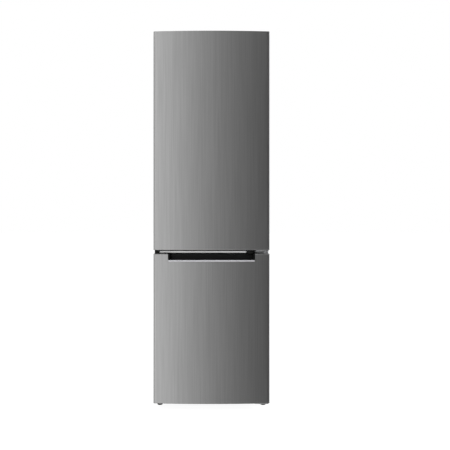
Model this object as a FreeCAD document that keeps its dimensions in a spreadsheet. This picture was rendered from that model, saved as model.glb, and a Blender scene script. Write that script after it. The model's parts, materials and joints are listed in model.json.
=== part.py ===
import FreeCAD, Part
import math
import os
import Sketcher
from types import SimpleNamespace

# Free-standing fridge freezer: a fridge above a freezer, both doors hung on the right.
# +X is to the right as seen from the front, +Y goes to the back, +Z is up, in millimetres.
# The origin is on the floor, in the middle of the footprint.

Vector = FreeCAD.Vector
doc = FreeCAD.newDocument("fridge_freezer")

# Driving dimensions
driving = {
    # whole appliance
    "cabinet_width": 550, "fridge_door_height": 1033, "freezer_door_height": 706,
    "door_gap": 18, "door_clearance": 37, "door_edge_depth": 50, "door_crown": 10,
    "seal_gap": 10, "cabinet_depth": 455, "rear_standoff": 32,
    # clearances and sheet
    "steel": 1, "fit": 0.3, "running_fit": 0.05, "overrun": 5,
    # shares: the tangent of 22.5 degrees, half of an eighth turn, and parts of other sizes;
    # those of a flat, an edge and a side place the flats that stand for a round corner or rim
    "eighth_turn_share": 0.4142, "tube_bend_share": 0.45, "seal_base_share": 0.6,
    "knob_bar_share": 0.9, "pot_flat_share": 0.26, "lens_wall_share": 0.8, "skin_keep_share": 0.6,
    "small_flat_share": 0.2929, "near_flat_share": 0.134, "far_flat_share": 0.5, "small_bend": 6,
    "edge_share": 0.1989, "near_side_share": 0.5665, "far_side_share": 0.8478,
    "arm_end_share": 0.9, "return_keep_share": 1.2,
    # cabinet shell
    "cabinet_drop": 14, "base_height": 44, "side_flange": 30, "rear_flange": 12,
    "bend": 2.5, "top_flange": 30, "base_flange": 35, "mullion_height": 78, "mullion_return": 14,
    "bay_depth": 190, "bay_height": 250, "bay_slant": 50, "bay_wall": 50,
    # liners and foam
    "liner": 2, "liner_corner": 30, "liner_back_corner": 22,
    "fridge_side_wall": 38, "fridge_back_wall": 47, "fridge_roof_wall": 40, "liner_margin": 10,
    "freezer_side_wall": 53, "freezer_back_wall": 62, "freezer_floor_wall": 65,
    "ledge_width": 8, "ledge_height": 9, "ledge_set_in": 30,
    # glass shelves and crisper
    "shelf_glass": 4, "shelf_front": 110, "shelf_rear_gap": 12, "shelf_side_gap": 2.5,
    "shelf_trim_height": 14, "shelf_trim_depth": 10, "shelf_trim_wall": 2,
    "crisper_space": 205, "shelf_pitch_share": 0.2459,
    "crisper_height": 176, "crisper_side_gap": 28, "crisper_wall": 2.2,
    "crisper_corner": 26, "crisper_grip": 22, "crisper_grip_depth": 9, "crisper_rear_gap": 26,
    # light and thermostat housing
    "housing_width": 230, "housing_depth": 92, "housing_height": 36, "housing_wall": 2.2,
    "housing_front": 60, "housing_corner": 12, "lens_width": 96, "lens_depth": 56, "lens_drop": 6,
    "lens_offset": 46, "lens_corner": 4.4, "knob_radius": 17, "knob_length": 15, "knob_offset": 62,
    "knob_stem_radius": 4, "knob_grip": 6, "knob_bar_corner": 2,
    # freezer evaporators and drawers
    "evaporator_tube": 4, "evaporator_runs": 6, "evaporator_wire": 2.4, "evaporator_wires": 9,
    "evaporator_side_gap": 4, "evaporator_front": 40, "evaporator_rear_gap": 24,
    "weld_gap": 0.1, "drawer_wall": 2.2, "drawer_corner": 18,
    "drawer_side_gap": 6, "drawer_front": 14, "drawer_space": 14, "drawer_rear_gap": 20,
    "drawer_grip_height": 30, "drawer_grip_depth": 12, "drawer_panel": 3, "middle_drawer_share": 0.5,
    # doors
    "door_corner": 8, "door_return": 10, "cap_band": 3, "cap_depth": 14, "cap_upstand": 5,
    "cap_edge": 1.5, "door_liner": 2,
    "gasket_inset": 19, "gasket_width": 14, "gasket_lip": 2, "gasket_margin": 1,
    "dyke_gap": 12, "dyke_width": 35, "dyke_depth": 44, "dyke_corner": 22, "dyke_edge": 8,
    "plateau_inset": 80, "plateau_depth": 18, "plateau_margin": 30,
    # handle recess in the freezer door
    "notch_width": 411, "notch_height": 37, "notch_depth": 38, "insert_wall": 2.5,
    "lip_height": 8, "lip_proud": 3, "lip_depth": 10, "lip_edge": 3, "insert_floor_drop": 5,
    "cheek_splay": 12,
    # door bins
    "bin_depth": 103, "bin_wall": 2.4, "bin_corner": 14, "bin_lug": 6, "bin_lug_height": 8,
    "bottle_bin_height": 105, "middle_bin_height": 78, "dairy_bin_height": 62,
    "bottle_bin_rise": 22, "middle_bin_share": 0.4142, "dairy_bin_share": 0.74556,
    "lid_wall": 2.2, "lid_hinge_rise": 34, "lid_pin": 2.5, "lid_ear": 12, "lid_side_gap": 0.4,
    # hinges
    "hinge_inset": 17, "pin_radius": 5, "pin_reach": 11, "collar_radius": 8,
    "hinge_plate": 4, "middle_plate": 6, "middle_plate_rise": 4,
    "arm_half_width": 8, "top_plate": 3, "top_plate_width": 56,
    "top_plate_length": 62, "hinge_cover_wall": 2, "hinge_cover_drop": 1,
    "middle_plate_width": 66,
    "middle_flange_height": 20, "middle_flange": 3, "bottom_plate_width": 70,
    "bottom_plate": 3.5, "bottom_plate_length": 58, "bottom_tongue_drop": 4.5, "plate_edge": 6,
    "hinge_edge_gap": 3,
    # divider trim between the doors
    "trim_height": 6.5, "trim_set_back": 12, "trim_wall": 1.6,
    "trim_left_inset": 28, "trim_right_inset": 109,
    "left_block_height": 16, "right_block_width": 33, "block_gap": 2,
    # feet and rollers
    "foot_radius": 13, "foot_height": 12, "foot_inset": 23, "foot_set_back": 35, "stud_radius": 5,
    "boss_radius": 10, "boss_length": 21, "foot_bracket_width": 46,
    "roller_radius": 17, "roller_width": 16, "roller_inset": 38, "roller_from_back": 46,
    "axle_radius": 4, "axle_end": 7, "ear_wall": 2.5, "ear_gap": 5, "ear_radius": 9,
    # compressor bay
    "rail_wall": 2.5, "rail_bend": 3.75, "rail_depth": 128, "rail_flange": 18, "rail_from_back": 12,
    "grommet_radius": 11, "grommet_height": 13,
    "compressor_offset": 70, "pot_length": 196, "pot_depth": 118, "pot_height": 150,
    "pot_corner": 52, "pot_edge": 30, "pot_soft_edge": 10, "pot_low_edge": 15,
    "seam_height": 4, "seam_proud": 4, "seam_share": 0.45,
    "foot_plate": 3, "foot_plate_overhang": 20, "foot_plate_corner": 14,
    "relay_width": 34, "relay_depth": 62, "relay_height": 70, "relay_rise": 26, "relay_edge": 5,
    "tray_height": 30, "tray_wall": 2, "tray_width": 170, "tray_depth": 118, "tray_corner": 20,
    "pipe_radius": 3, "pipe_bend": 16, "drier_radius": 9, "drier_length": 80, "drier_neck": 14,
    "drier_from_side": 110, "drier_rise": 134, "discharge_rise": 46, "suction_rise": 50,
    "suction_reach": 40, "gland_radius": 8, "gland_length": 14, "gland_bore": 3.6,
    "gland_floor": 3,
    # condenser
    "condenser_tube": 2.4, "condenser_runs": 15, "condenser_pitch": 84, "condenser_inset": 42,
    "condenser_rise": 78, "condenser_standoff": 16, "condenser_wire": 1.5, "condenser_wires": 26,
    "condenser_wire_inset": 43, "riser_gap": 16,
    "clip_width": 11, "clip_height": 26, "spacer_width": 40, "spacer_height": 26,
    "spacer_from_top": 60, "spacer_inset": 70,
    # drain
    "drain_radius": 8, "drain_bore": 6, "drain_play": 0.9,
    "drain_rise": 34, "drain_offset": 20, "drain_end": 10,
}

# Shelf levels, as counts of the shelf pitch above the crisper's cover
shelf_steps = [1, 2, 3]
# Runs and wire spaces of the condenser that carry a clip
clip_runs = [1, 7, 13]
clip_columns = [2, 22]

sheet = doc.addObject("Spreadsheet::Sheet", "sizes")
for row, (name, value) in enumerate(driving.items(), 1):
    sheet.set(f"A{row}", name)
    sheet.set(f"B{row}", str(value))
    sheet.setAlias(f"B{row}", name)
places = doc.addObject("Spreadsheet::Sheet", "places")
doc.recompute()


class Size:
    """A number together with the spreadsheet expression that gives it."""

    def __init__(self, value, text):
        self.value = value
        self.text = text

    def __add__(self, other):
        other = as_size(other)
        return Size(self.value + other.value, f"({self.text} + {other.text})")

    def __radd__(self, other):
        return as_size(other) + self

    def __sub__(self, other):
        other = as_size(other)
        return Size(self.value - other.value, f"({self.text} - {other.text})")

    def __rsub__(self, other):
        return as_size(other) - self

    def __mul__(self, other):
        other = as_size(other)
        return Size(self.value * other.value, f"({self.text} * {other.text})")

    def __rmul__(self, other):
        return self * other

    def __truediv__(self, other):
        other = as_size(other)
        return Size(self.value / other.value, f"({self.text} / {other.text})")

    def __neg__(self):
        return Size(-self.value, f"(0 - {self.text})")


def as_size(number):
    return number if isinstance(number, Size) else Size(float(number), f"({number})")


d = SimpleNamespace(**{name: Size(float(sheet.get(name)), f"sizes.{name}") for name in driving})
place_count = 0
tiny = 0.01


def place(name, size):
    """Keeps a worked-out place in the second sheet, as a formula, under its own name."""
    global place_count
    place_count += 1
    places.set(f"A{place_count}", name)
    places.set(f"B{place_count}", f"={size.text}")
    places.setAlias(f"B{place_count}", name)
    return Size(size.value, f"places.{name}")


# Worked-out places along the depth
total_depth = place("total_depth", d.lip_proud + d.door_crown + d.door_edge_depth + d.seal_gap
                    + d.cabinet_depth + d.rear_standoff)
lip_y = place("lip_y", -total_depth / 2)
apex_y = place("apex_y", lip_y + d.lip_proud)
edge_y = place("edge_y", apex_y + d.door_crown)
door_back_y = place("door_back_y", edge_y + d.door_edge_depth)
cabinet_y = place("cabinet_y", door_back_y + d.seal_gap)
back_y = place("back_y", cabinet_y + d.cabinet_depth)
rear_y = place("rear_y", back_y + d.rear_standoff)
hinge_y = place("hinge_y", edge_y + d.door_edge_depth / 2)
bay_y = place("bay_y", back_y - d.bay_depth)

# Worked-out places across the width and height
half = place("half_width", d.cabinet_width / 2)
hinge_x = place("hinge_x", half - d.hinge_inset)
lower_z = place("lower_z", d.door_clearance)
lower_top_z = place("lower_top_z", lower_z + d.freezer_door_height)
upper_z = place("upper_z", lower_top_z + d.door_gap)
top_z = place("top_z", upper_z + d.fridge_door_height)
cabinet_top_z = place("cabinet_top_z", top_z - d.cabinet_drop)
cap_top_z = place("cap_top_z", cabinet_top_z - d.hinge_plate / 2)
mullion_z = place("mullion_z", lower_top_z + d.door_gap / 2)
mullion_low_z = place("mullion_low_z", mullion_z - d.mullion_height / 2)
mullion_high_z = place("mullion_high_z", mullion_z + d.mullion_height / 2)
flange_x = place("flange_x", half - d.side_flange)
roof_flange_z = place("roof_flange_z", cabinet_top_z - d.top_flange)
base_flange_z = place("base_flange_z", d.base_height + d.base_flange)
bay_top_z = place("bay_top_z", d.base_height + d.bay_height)

# Liner outsides
fridge_x = place("fridge_x", half - d.fridge_side_wall)
fridge_low_z = place("fridge_low_z", mullion_high_z + d.liner_margin)
fridge_high_z = place("fridge_high_z", cabinet_top_z - d.fridge_roof_wall)
fridge_rear_y = place("fridge_rear_y", back_y - d.fridge_back_wall)
freezer_x = place("freezer_x", half - d.freezer_side_wall)
freezer_low_z = place("freezer_low_z", d.base_height + d.freezer_floor_wall)
freezer_high_z = place("freezer_high_z", mullion_low_z - d.liner_margin)
freezer_rear_y = place("freezer_rear_y", back_y - d.freezer_back_wall)
step_y = place("step_y", bay_y - d.bay_wall)
step_top_z = place("step_top_z", bay_top_z + d.bay_wall)
drain_y = place("drain_y", fridge_rear_y + (d.fridge_back_wall - d.steel) / 2)
drain_z = place("drain_z", fridge_low_z + d.drain_rise)
drain_space = place("drain_space", d.drain_radius + d.drain_play)

finished = []


def bind(item, name, size):
    item.setExpression(name, as_size(size).text)


def piece(item, node):
    item.Label = node
    finished.append(item)
    return item


def block(name, x, y, z):
    """A box between the given pairs of places."""
    box = doc.addObject("Part::Box", name)
    for side, axis, (low, high) in (("Length", "x", x), ("Width", "y", y), ("Height", "z", z)):
        bind(box, side, as_size(high) - low)
        bind(box, f"Placement.Base.{axis}", low)
    return box


turns = {
    "x": FreeCAD.Rotation(Vector(0, 1, 0), 90),
    "y": FreeCAD.Rotation(Vector(1, 0, 0), -90),
    "z": FreeCAD.Rotation(),
}


def rod(name, direction, radius, start, length):
    """A cylinder that runs from its start point along +X, +Y or +Z."""
    cylinder = doc.addObject("Part::Cylinder", name)
    cylinder.Placement = FreeCAD.Placement(Vector(), turns[direction])
    bind(cylinder, "Radius", radius)
    bind(cylinder, "Height", length)
    for axis, number in zip("xyz", start):
        bind(cylinder, f"Placement.Base.{axis}", number)
    return cylinder


def cut(name, base, *tools):
    for count, tool in enumerate(tools):
        result = doc.addObject("Part::Cut", f"{name}_{count}" if count < len(tools) - 1 else name)
        result.Base = base
        result.Tool = tool
        base = result
    return base


def fuse(name, *shapes):
    result = doc.addObject("Part::MultiFuse", name)
    result.Shapes = list(shapes)
    result.Refine = True
    return result


def common(name, first, second):
    result = doc.addObject("Part::Common", name)
    result.Base = first
    result.Tool = second
    return result


def group(name, *shapes):
    """Separate solids that share one node."""
    result = doc.addObject("Part::Compound", name)
    result.Links = list(shapes)
    return result


roles = {"x": "YZ_Plane", "y": "XZ_Plane", "z": "XY_Plane"}


def new_sketch(body, name, direction, offset):
    """A sketch square to an axis. Its first axis is X, or Y on a sketch square to X."""
    sketch = body.newObject("Sketcher::SketchObject", name)
    base = next(f for f in body.Origin.OriginFeatures if f.Role == roles[direction])
    sketch.AttachmentSupport = [(base, "")]
    sketch.MapMode = "FlatFace"
    offset = as_size(offset)
    bind(sketch, "AttachmentOffset.Base.z", -offset if direction == "y" else offset)
    return sketch


def pin_point(sketch, geometry, position, u, v):
    """Holds a point of the sketch at bound distances from its origin."""
    for kind, size in (("DistanceX", as_size(u)), ("DistanceY", as_size(v))):
        constraint = Sketcher.Constraint(kind, -1, 1, geometry, position, size.value)
        index = sketch.addConstraint(constraint)
        sketch.setExpression(f"Constraints[{index}]", size.text)


def draw(sketch, corners, closed=True):
    """Straight sides between corners; a corner's third number rounds it."""
    count = len(corners)
    points = [Vector(as_size(c[0]).value, as_size(c[1]).value, 0) for c in corners]
    arrive, leave, arcs = [], [], []
    for i, corner in enumerate(corners):
        inner = closed or 0 < i < count - 1
        if len(corner) < 3 or not inner:
            arrive.append(points[i])
            leave.append(points[i])
            arcs.append(None)
            continue
        radius = as_size(corner[2]).value
        back = (points[i - 1] - points[i]).normalize()
        ahead = (points[(i + 1) % count] - points[i]).normalize()
        reach = radius / math.tan(back.getAngle(ahead) / 2)
        arrive.append(points[i] + back * reach)
        leave.append(points[i] + ahead * reach)
        bisector = (back + ahead).normalize()
        centre = points[i] + bisector * math.hypot(radius, reach)
        left_turn = (-back).cross(ahead).z > 0
        first, last = (arrive[i], leave[i]) if left_turn else (leave[i], arrive[i])
        start = math.atan2(first.y - centre.y, first.x - centre.x)
        end = math.atan2(last.y - centre.y, last.x - centre.x)
        circle = Part.Circle(centre, Vector(0, 0, 1), radius)
        arcs.append((Part.ArcOfCircle(circle, start, end), left_turn))
    lines = {}
    for i in range(count if closed else count - 1):
        segment = Part.LineSegment(leave[i], arrive[(i + 1) % count])
        lines[i] = sketch.addGeometry(segment, False)
    for i, corner in enumerate(corners):
        before, after = lines.get((i - 1) % count), lines.get(i)
        if not closed and i == 0:
            pin_point(sketch, after, 1, corner[0], corner[1])
            continue
        if not closed and i == count - 1:
            pin_point(sketch, before, 2, corner[0], corner[1])
            continue
        if arcs[i] is None:
            sketch.addConstraint(Sketcher.Constraint("Coincident", before, 2, after, 1))
            pin_point(sketch, after, 1, corner[0], corner[1])
            continue
        arc, left_turn = arcs[i]
        bend = sketch.addGeometry(arc, False)
        into, out = (1, 2) if left_turn else (2, 1)
        sketch.addConstraint(Sketcher.Constraint("Tangent", before, 2, bend, into))
        sketch.addConstraint(Sketcher.Constraint("Tangent", bend, out, after, 1))
        index = sketch.addConstraint(Sketcher.Constraint("Radius", bend, as_size(corner[2]).value))
        sketch.setExpression(f"Constraints[{index}]", as_size(corner[2]).text)
        mark = sketch.addGeometry(Part.Point(points[i]), True)
        pin_point(sketch, mark, 1, corner[0], corner[1])
        sketch.addConstraint(Sketcher.Constraint("PointOnObject", mark, 1, before))
        sketch.addConstraint(Sketcher.Constraint("PointOnObject", mark, 1, after))


def flattened(corners):
    """The same outline, with flats for each round corner between two square sides."""
    points = []
    for i, corner in enumerate(corners):
        if len(corner) < 3:
            points.append(corner)
            continue
        signs = []
        for other in (corners[i - 1], corners[(i + 1) % len(corners)]):
            steps = [as_size(b).value - as_size(a).value for a, b in zip(corner[:2], other[:2])]
            signs.append([0 if abs(step) < tiny else math.copysign(1, step) for step in steps])
        if any(all(pair) for pair in signs):
            points.append(corner)
            continue
        if as_size(corner[2]).value < d.small_bend.value:
            shares = [(1, 0), (d.small_flat_share, d.small_flat_share), (0, 1)]
        else:
            shares = [(1, 0), (d.far_flat_share, d.near_flat_share),
                      (d.near_flat_share, d.far_flat_share), (0, 1)]
        for before, after in shares:
            points.append(tuple(a + corner[2] * (back * before + ahead * after)
                                for a, back, ahead in zip(corner[:2], *signs)))
    return points


def pad(name, direction, low, high, *loops):
    """A body padded from one place to the other, with its round corners made of flats."""
    body = doc.addObject("PartDesign::Body", name)
    start = high if direction == "y" else low
    sketch = new_sketch(body, f"{name}_outline", direction, start)
    for loop in loops:
        draw(sketch, flattened(loop))
    feature = body.newObject("PartDesign::Pad", f"{name}_pad")
    feature.Profile = sketch
    bind(feature, "Length", as_size(high) - low)
    body.Tip = feature
    return body


def rectangle(u, v, radius=None):
    """The corners of a rectangle between two pairs of places, all rounded alike."""
    corners = [(u[0], v[0]), (u[1], v[0]), (u[1], v[1]), (u[0], v[1])]
    return corners if radius is None else [(a, b, radius) for a, b in corners]


def dress(body, kind, measure, size, chosen):
    doc.recompute()
    base = body.Tip
    names = [f"Edge{i}" for i, edge in enumerate(base.Shape.Edges, 1) if chosen(edge)]
    feature = body.newObject(f"PartDesign::{kind}", f"{body.Name}_{kind}{len(body.Group)}")
    feature.Base = (base, names)
    bind(feature, measure, size)
    body.Tip = feature
    return body


def soften(body, radius, chosen):
    """Rounds the edges of the body's last feature that the test picks."""
    return dress(body, "Fillet", "Radius", radius, chosen)


def bevel(body, size, chosen):
    """Chamfers the edges of the body's last feature that the test picks."""
    return dress(body, "Chamfer", "Size", size, chosen)


def at(axis, size):
    """A test for edges that lie wholly in the plane at this place."""
    number = as_size(size).value

    def chosen(edge):
        box = edge.BoundBox
        low, high = getattr(box, f"{axis.upper()}Min"), getattr(box, f"{axis.upper()}Max")
        return abs(low - number) < tiny and abs(high - number) < tiny
    return chosen


def crowned(name, half_width, edge, apex, back, low, high, corner=None, dress_corner=soften):
    """A slab whose front is one shallow arc across the width, with its corners dressed."""
    body = doc.addObject("PartDesign::Body", name)
    sketch = new_sketch(body, f"{name}_outline", "z", low)
    w, e, a, b = (as_size(size).value for size in (half_width, edge, apex, back))
    arc = Part.Arc(Vector(-w, e, 0), Vector(0, a, 0), Vector(w, e, 0))
    front = sketch.addGeometry(arc, False)
    right = sketch.addGeometry(Part.LineSegment(Vector(w, e, 0), Vector(w, b, 0)), False)
    rear = sketch.addGeometry(Part.LineSegment(Vector(w, b, 0), Vector(-w, b, 0)), False)
    left = sketch.addGeometry(Part.LineSegment(Vector(-w, b, 0), Vector(-w, e, 0)), False)
    for first, end, second, start in ((front, 2, right, 1), (right, 2, rear, 1),
                                      (rear, 2, left, 1), (left, 2, front, 1)):
        sketch.addConstraint(Sketcher.Constraint("Coincident", first, end, second, start))
    half_width = as_size(half_width)
    pin_point(sketch, right, 1, half_width, edge)
    pin_point(sketch, right, 2, half_width, back)
    pin_point(sketch, left, 1, -half_width, back)
    pin_point(sketch, left, 2, -half_width, edge)
    mark = sketch.addGeometry(Part.Point(Vector(0, a, 0)), True)
    pin_point(sketch, mark, 1, 0, apex)
    sketch.addConstraint(Sketcher.Constraint("PointOnObject", mark, 1, front))
    feature = body.newObject("PartDesign::Pad", f"{name}_pad")
    feature.Profile = sketch
    bind(feature, "Length", as_size(high) - low)
    body.Tip = feature
    if corner is None:
        return body

    def front_corner(edge_line):
        box = edge_line.BoundBox
        upright = box.ZLength > box.XLength + box.YLength
        return upright and abs(box.YMin - e) < tiny
    return dress_corner(body, corner, front_corner)


def octagon(u, v, radius):
    """Eight corners round a place, as near to a circle as a thin tube needs."""
    near = radius * d.eighth_turn_share
    corners = [(-near, -radius), (near, -radius), (radius, -near), (radius, near)]
    corners += [(near, radius), (-near, radius), (-radius, near), (-radius, -near)]
    return [(u + a, v + b) for a, b in corners]


def sixteen_sides(u, v, radius):
    """Sixteen corners round a place, for a rim that is seen from near by."""
    edge, near, far = (radius * s for s in (d.edge_share, d.near_side_share, d.far_side_share))
    quarter = [(radius, edge), (far, near), (near, far), (edge, radius)]
    corners = []
    for _ in range(4):
        corners += quarter
        quarter = [(-b, a) for a, b in quarter]
    return [(u + a, v + b) for a, b in corners]


def folded(corners):
    """The same path, with each bend made of one straight piece across its corner."""
    points = []
    for i, corner in enumerate(corners):
        if len(corner) < 3:
            points.append(corner)
            continue
        for other in (corners[i - 1], corners[i + 1]):
            steps = [as_size(b).value - as_size(a).value for a, b in zip(corner[:2], other[:2])]
            signs = [0 if abs(step) < tiny else math.copysign(1, step) for step in steps]
            points.append(tuple(a + corner[2] * sign for a, sign in zip(corner[:2], signs)))
    return points


def swept(name, direction, offset, corners, radius):
    """A thin tube or rod along a flat path of straight runs and folded bends."""
    body = doc.addObject("PartDesign::Body", name)
    path = new_sketch(body, f"{name}_path", direction, offset)
    corners = folded(corners)
    draw(path, corners, closed=False)
    doc.recompute()
    first, second = corners[0], corners[1]
    along_u = abs(as_size(first[0]).value - as_size(second[0]).value) > tiny
    profile_direction = {"x": "yz", "y": "xz", "z": "xy"}[direction][0 if along_u else 1]
    u, v = as_size(first[0]), as_size(first[1])
    offset = as_size(offset)
    points = {"z": (u, v, offset), "y": (u, offset, v), "x": (offset, u, v)}
    x, y, z = points[direction]
    spots = {"x": (x, (y, z)), "y": (y, (x, z)), "z": (z, (x, y))}
    level, (cu, cv) = spots[profile_direction]
    profile = new_sketch(body, f"{name}_section", profile_direction, level)
    draw(profile, octagon(cu, cv, as_size(radius)))
    feature = body.newObject("PartDesign::AdditivePipe", f"{name}_pipe")
    feature.Profile = profile
    feature.Spine = (path, [f"Edge{i}" for i in range(1, len(path.Shape.Edges) + 1)])
    feature.Transition = "Right corner"
    body.Tip = feature
    return body


def mirrored_pair(size):
    size = as_size(size)
    return (-size, size)


# Cabinet shell, folded from sheet steel
def side_panel(node, side):
    """A side sheet with its front and rear edges folded inwards."""
    t, r = d.steel, d.bend
    inner = r - t
    x = (lambda size: -size) if side < 0 else (lambda size: size)
    rear_edge = back_y - t
    front_inner = half - d.side_flange
    rear_inner = half - t - d.rear_flange
    outline = [
        (x(front_inner), cabinet_y), (x(half), cabinet_y, r), (x(half), rear_edge, r),
        (x(rear_inner), rear_edge), (x(rear_inner), rear_edge - t),
        (x(half - t), rear_edge - t, inner), (x(half - t), cabinet_y + t, inner),
        (x(front_inner), cabinet_y + t),
    ]
    return piece(pad(node, "z", d.base_height, cabinet_top_z - t, outline), node)


def top_panel():
    """The roof sheet, with its front edge folded down between the side flanges."""
    t, r = d.steel, d.bend
    lip = roof_flange_z
    outline = [
        (cabinet_y, lip), (cabinet_y + t, lip), (cabinet_y + t, cabinet_top_z - t, r - t),
        (back_y, cabinet_top_z - t), (back_y, cabinet_top_z), (cabinet_y, cabinet_top_z, r),
    ]
    sheet_body = pad("roof_sheet", "x", *mirrored_pair(half), outline)
    notches = [block(f"roof_notch_{i}", x, (cabinet_y - d.overrun, cabinet_y + r),
                     (lip - d.overrun, cabinet_top_z - t))
               for i, x in enumerate(((-half - d.overrun, -flange_x), (flange_x, half + d.overrun)))]
    return piece(cut("roof", sheet_body, *notches), "top_panel")


def back_panel():
    """The flat back sheet, over the rear flanges of the sides."""
    t = d.steel
    z = (bay_top_z, cabinet_top_z - t)
    return piece(pad("back_sheet", "y", back_y - t, back_y, rectangle(mirrored_pair(half), z)),
                 "back_panel")


def base_panel():
    """The base sheet, stepped up over the compressor bay."""
    t, r = d.steel, d.bend
    low, top = d.base_height, bay_top_z
    slant_y, slant_z = bay_y + d.bay_slant, top - d.bay_slant
    skew = t * d.eighth_turn_share
    end = back_y - t - r - d.fit
    outline = [
        (cabinet_y, base_flange_z), (cabinet_y, low, r), (bay_y, low, r),
        (bay_y, slant_z, r), (slant_y, top, r), (end, top),
        (end, top + t), (slant_y - skew, top + t, r), (bay_y - t, slant_z + skew, r),
        (bay_y - t, low + t, r), (cabinet_y + t, low + t, r - t), (cabinet_y + t, base_flange_z),
    ]
    sheet_body = pad("base_sheet", "x", *mirrored_pair(half - t), outline)
    notches = [block(f"base_notch_{i}", x, (cabinet_y - d.overrun, cabinet_y + r),
                     (low - d.overrun, base_flange_z + d.overrun))
               for i, x in enumerate(((-half - t, -flange_x), (flange_x, half + t)))]
    drain = rod("base_drain_hole", "z", drain_space, (d.drain_offset, drain_y, top - t), t * 3)
    return piece(cut("base", sheet_body, *notches, drain), "base_panel")


def mullion_rail():
    """The cross rail between the two compartments, a channel open to the back."""
    t, r = d.steel, d.bend
    deep = cabinet_y + d.mullion_return
    low, high = mullion_low_z, mullion_high_z
    outline = [
        (deep, low), (cabinet_y, low, r), (cabinet_y, high, r), (deep, high),
        (deep, high - t), (cabinet_y + t, high - t, r - t), (cabinet_y + t, low + t, r - t),
        (deep, low + t),
    ]
    return piece(pad("mullion", "x", *mirrored_pair(flange_x), outline), "mullion_rail")


# Liners and insulation
def fridge_tub(name, grow):
    """The fridge compartment as a solid block, grown or shrunk all round."""
    outline = rectangle(mirrored_pair(fridge_x + grow), (fridge_low_z - grow, fridge_high_z + grow),
                        d.liner_corner + grow)
    return pad(name, "y", cabinet_y, fridge_rear_y + grow, outline)


def freezer_outline(grow, corner=None):
    """The freezer compartment seen from the side, stepped over the compressor bay."""
    low, high = freezer_low_z - grow, freezer_high_z + grow
    step, rear, top = step_y + grow, freezer_rear_y + grow, step_top_z - grow
    slant = [(step, top - d.bay_slant), (step + d.bay_slant, top)]
    corners = [(step, low), (rear, top), (rear, high)]
    if corner is not None:
        corners = [(y, z, corner) for y, z in corners]
    return [(cabinet_y, low), corners[0], *slant, *corners[1:], (cabinet_y, high)]


def freezer_tub(name, grow, corner=None):
    return pad(name, "x", *mirrored_pair(freezer_x + grow), freezer_outline(grow, corner))


def rim(name, low, high, opening):
    """The flat rim of a liner, out to the steel that frames it."""
    outer = rectangle(mirrored_pair(flange_x - d.fit), (low + d.fit, high - d.fit))
    return pad(name, "y", cabinet_y, cabinet_y + d.liner, outer, opening)


cover_z = place("cover_z", fridge_low_z + d.liner + d.crisper_space)
shelf_pitch = place("shelf_pitch", (fridge_high_z - cover_z) * d.shelf_pitch_share)


def shelf_level(step):
    """The underside of a glass pane, counted up from the crisper's cover."""
    return cover_z + shelf_pitch * step


def wall_ledges(name, wall, top, y, width, height):
    """A ledge on each side wall of a liner."""
    spans = (("left", (-wall - d.liner / 2, -wall + width)),
             ("right", (wall - width, wall + d.liner / 2)))
    return [block(f"{name}_{side}", x, y, (top - height, top)) for side, x in spans]


def fridge_liner():
    """The fridge's inner skin, with a pair of ledges for each pane."""
    outer = fridge_tub("fridge_outer", as_size(0))
    inner = fridge_tub("fridge_inner", -d.liner)
    opening = rectangle(mirrored_pair(fridge_x), (fridge_low_z, fridge_high_z), d.liner_corner)
    edge = rim("fridge_rim", mullion_high_z, roof_flange_z, opening)
    shell = cut("fridge_shell", fuse("fridge_rimmed", outer, edge), inner)
    y = (cabinet_y + d.ledge_set_in, fridge_rear_y - d.liner_back_corner)
    ledges = []
    for step in [0] + shelf_steps:
        top = shelf_level(step) - d.fit
        ledges += wall_ledges(f"ledge_{step}", fridge_x - d.liner, top, y, d.ledge_width, d.ledge_height)
    drain = rod("drain_hole", "y", drain_space,
                (d.drain_offset, fridge_rear_y - d.liner_back_corner, drain_z),
                d.liner_back_corner + d.overrun)
    return piece(cut("fridge_lined", fuse("fridge_ledged", shell, *ledges), drain), "fridge_liner")


def freezer_liner():
    """The freezer's inner skin, with ledges for the upper evaporator."""
    outer = freezer_tub("freezer_outer", as_size(0), d.liner_back_corner)
    inner = freezer_tub("freezer_inner", -d.liner, d.liner_back_corner - d.liner)
    opening = rectangle(mirrored_pair(freezer_x), (freezer_low_z, freezer_high_z))
    edge = rim("freezer_rim", base_flange_z, mullion_low_z, opening)
    shell = cut("freezer_shell", fuse("freezer_rimmed", outer, edge), inner)
    y = (cabinet_y + d.evaporator_front, freezer_rear_y - d.liner_back_corner)
    top = upper_evaporator_z - d.evaporator_tube - d.fit
    ledges = wall_ledges("evaporator_ledge", freezer_x - d.liner, top, y, d.ledge_width, d.ledge_height)
    return piece(fuse("freezer_ledged", shell, *ledges), "freezer_liner")


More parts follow.
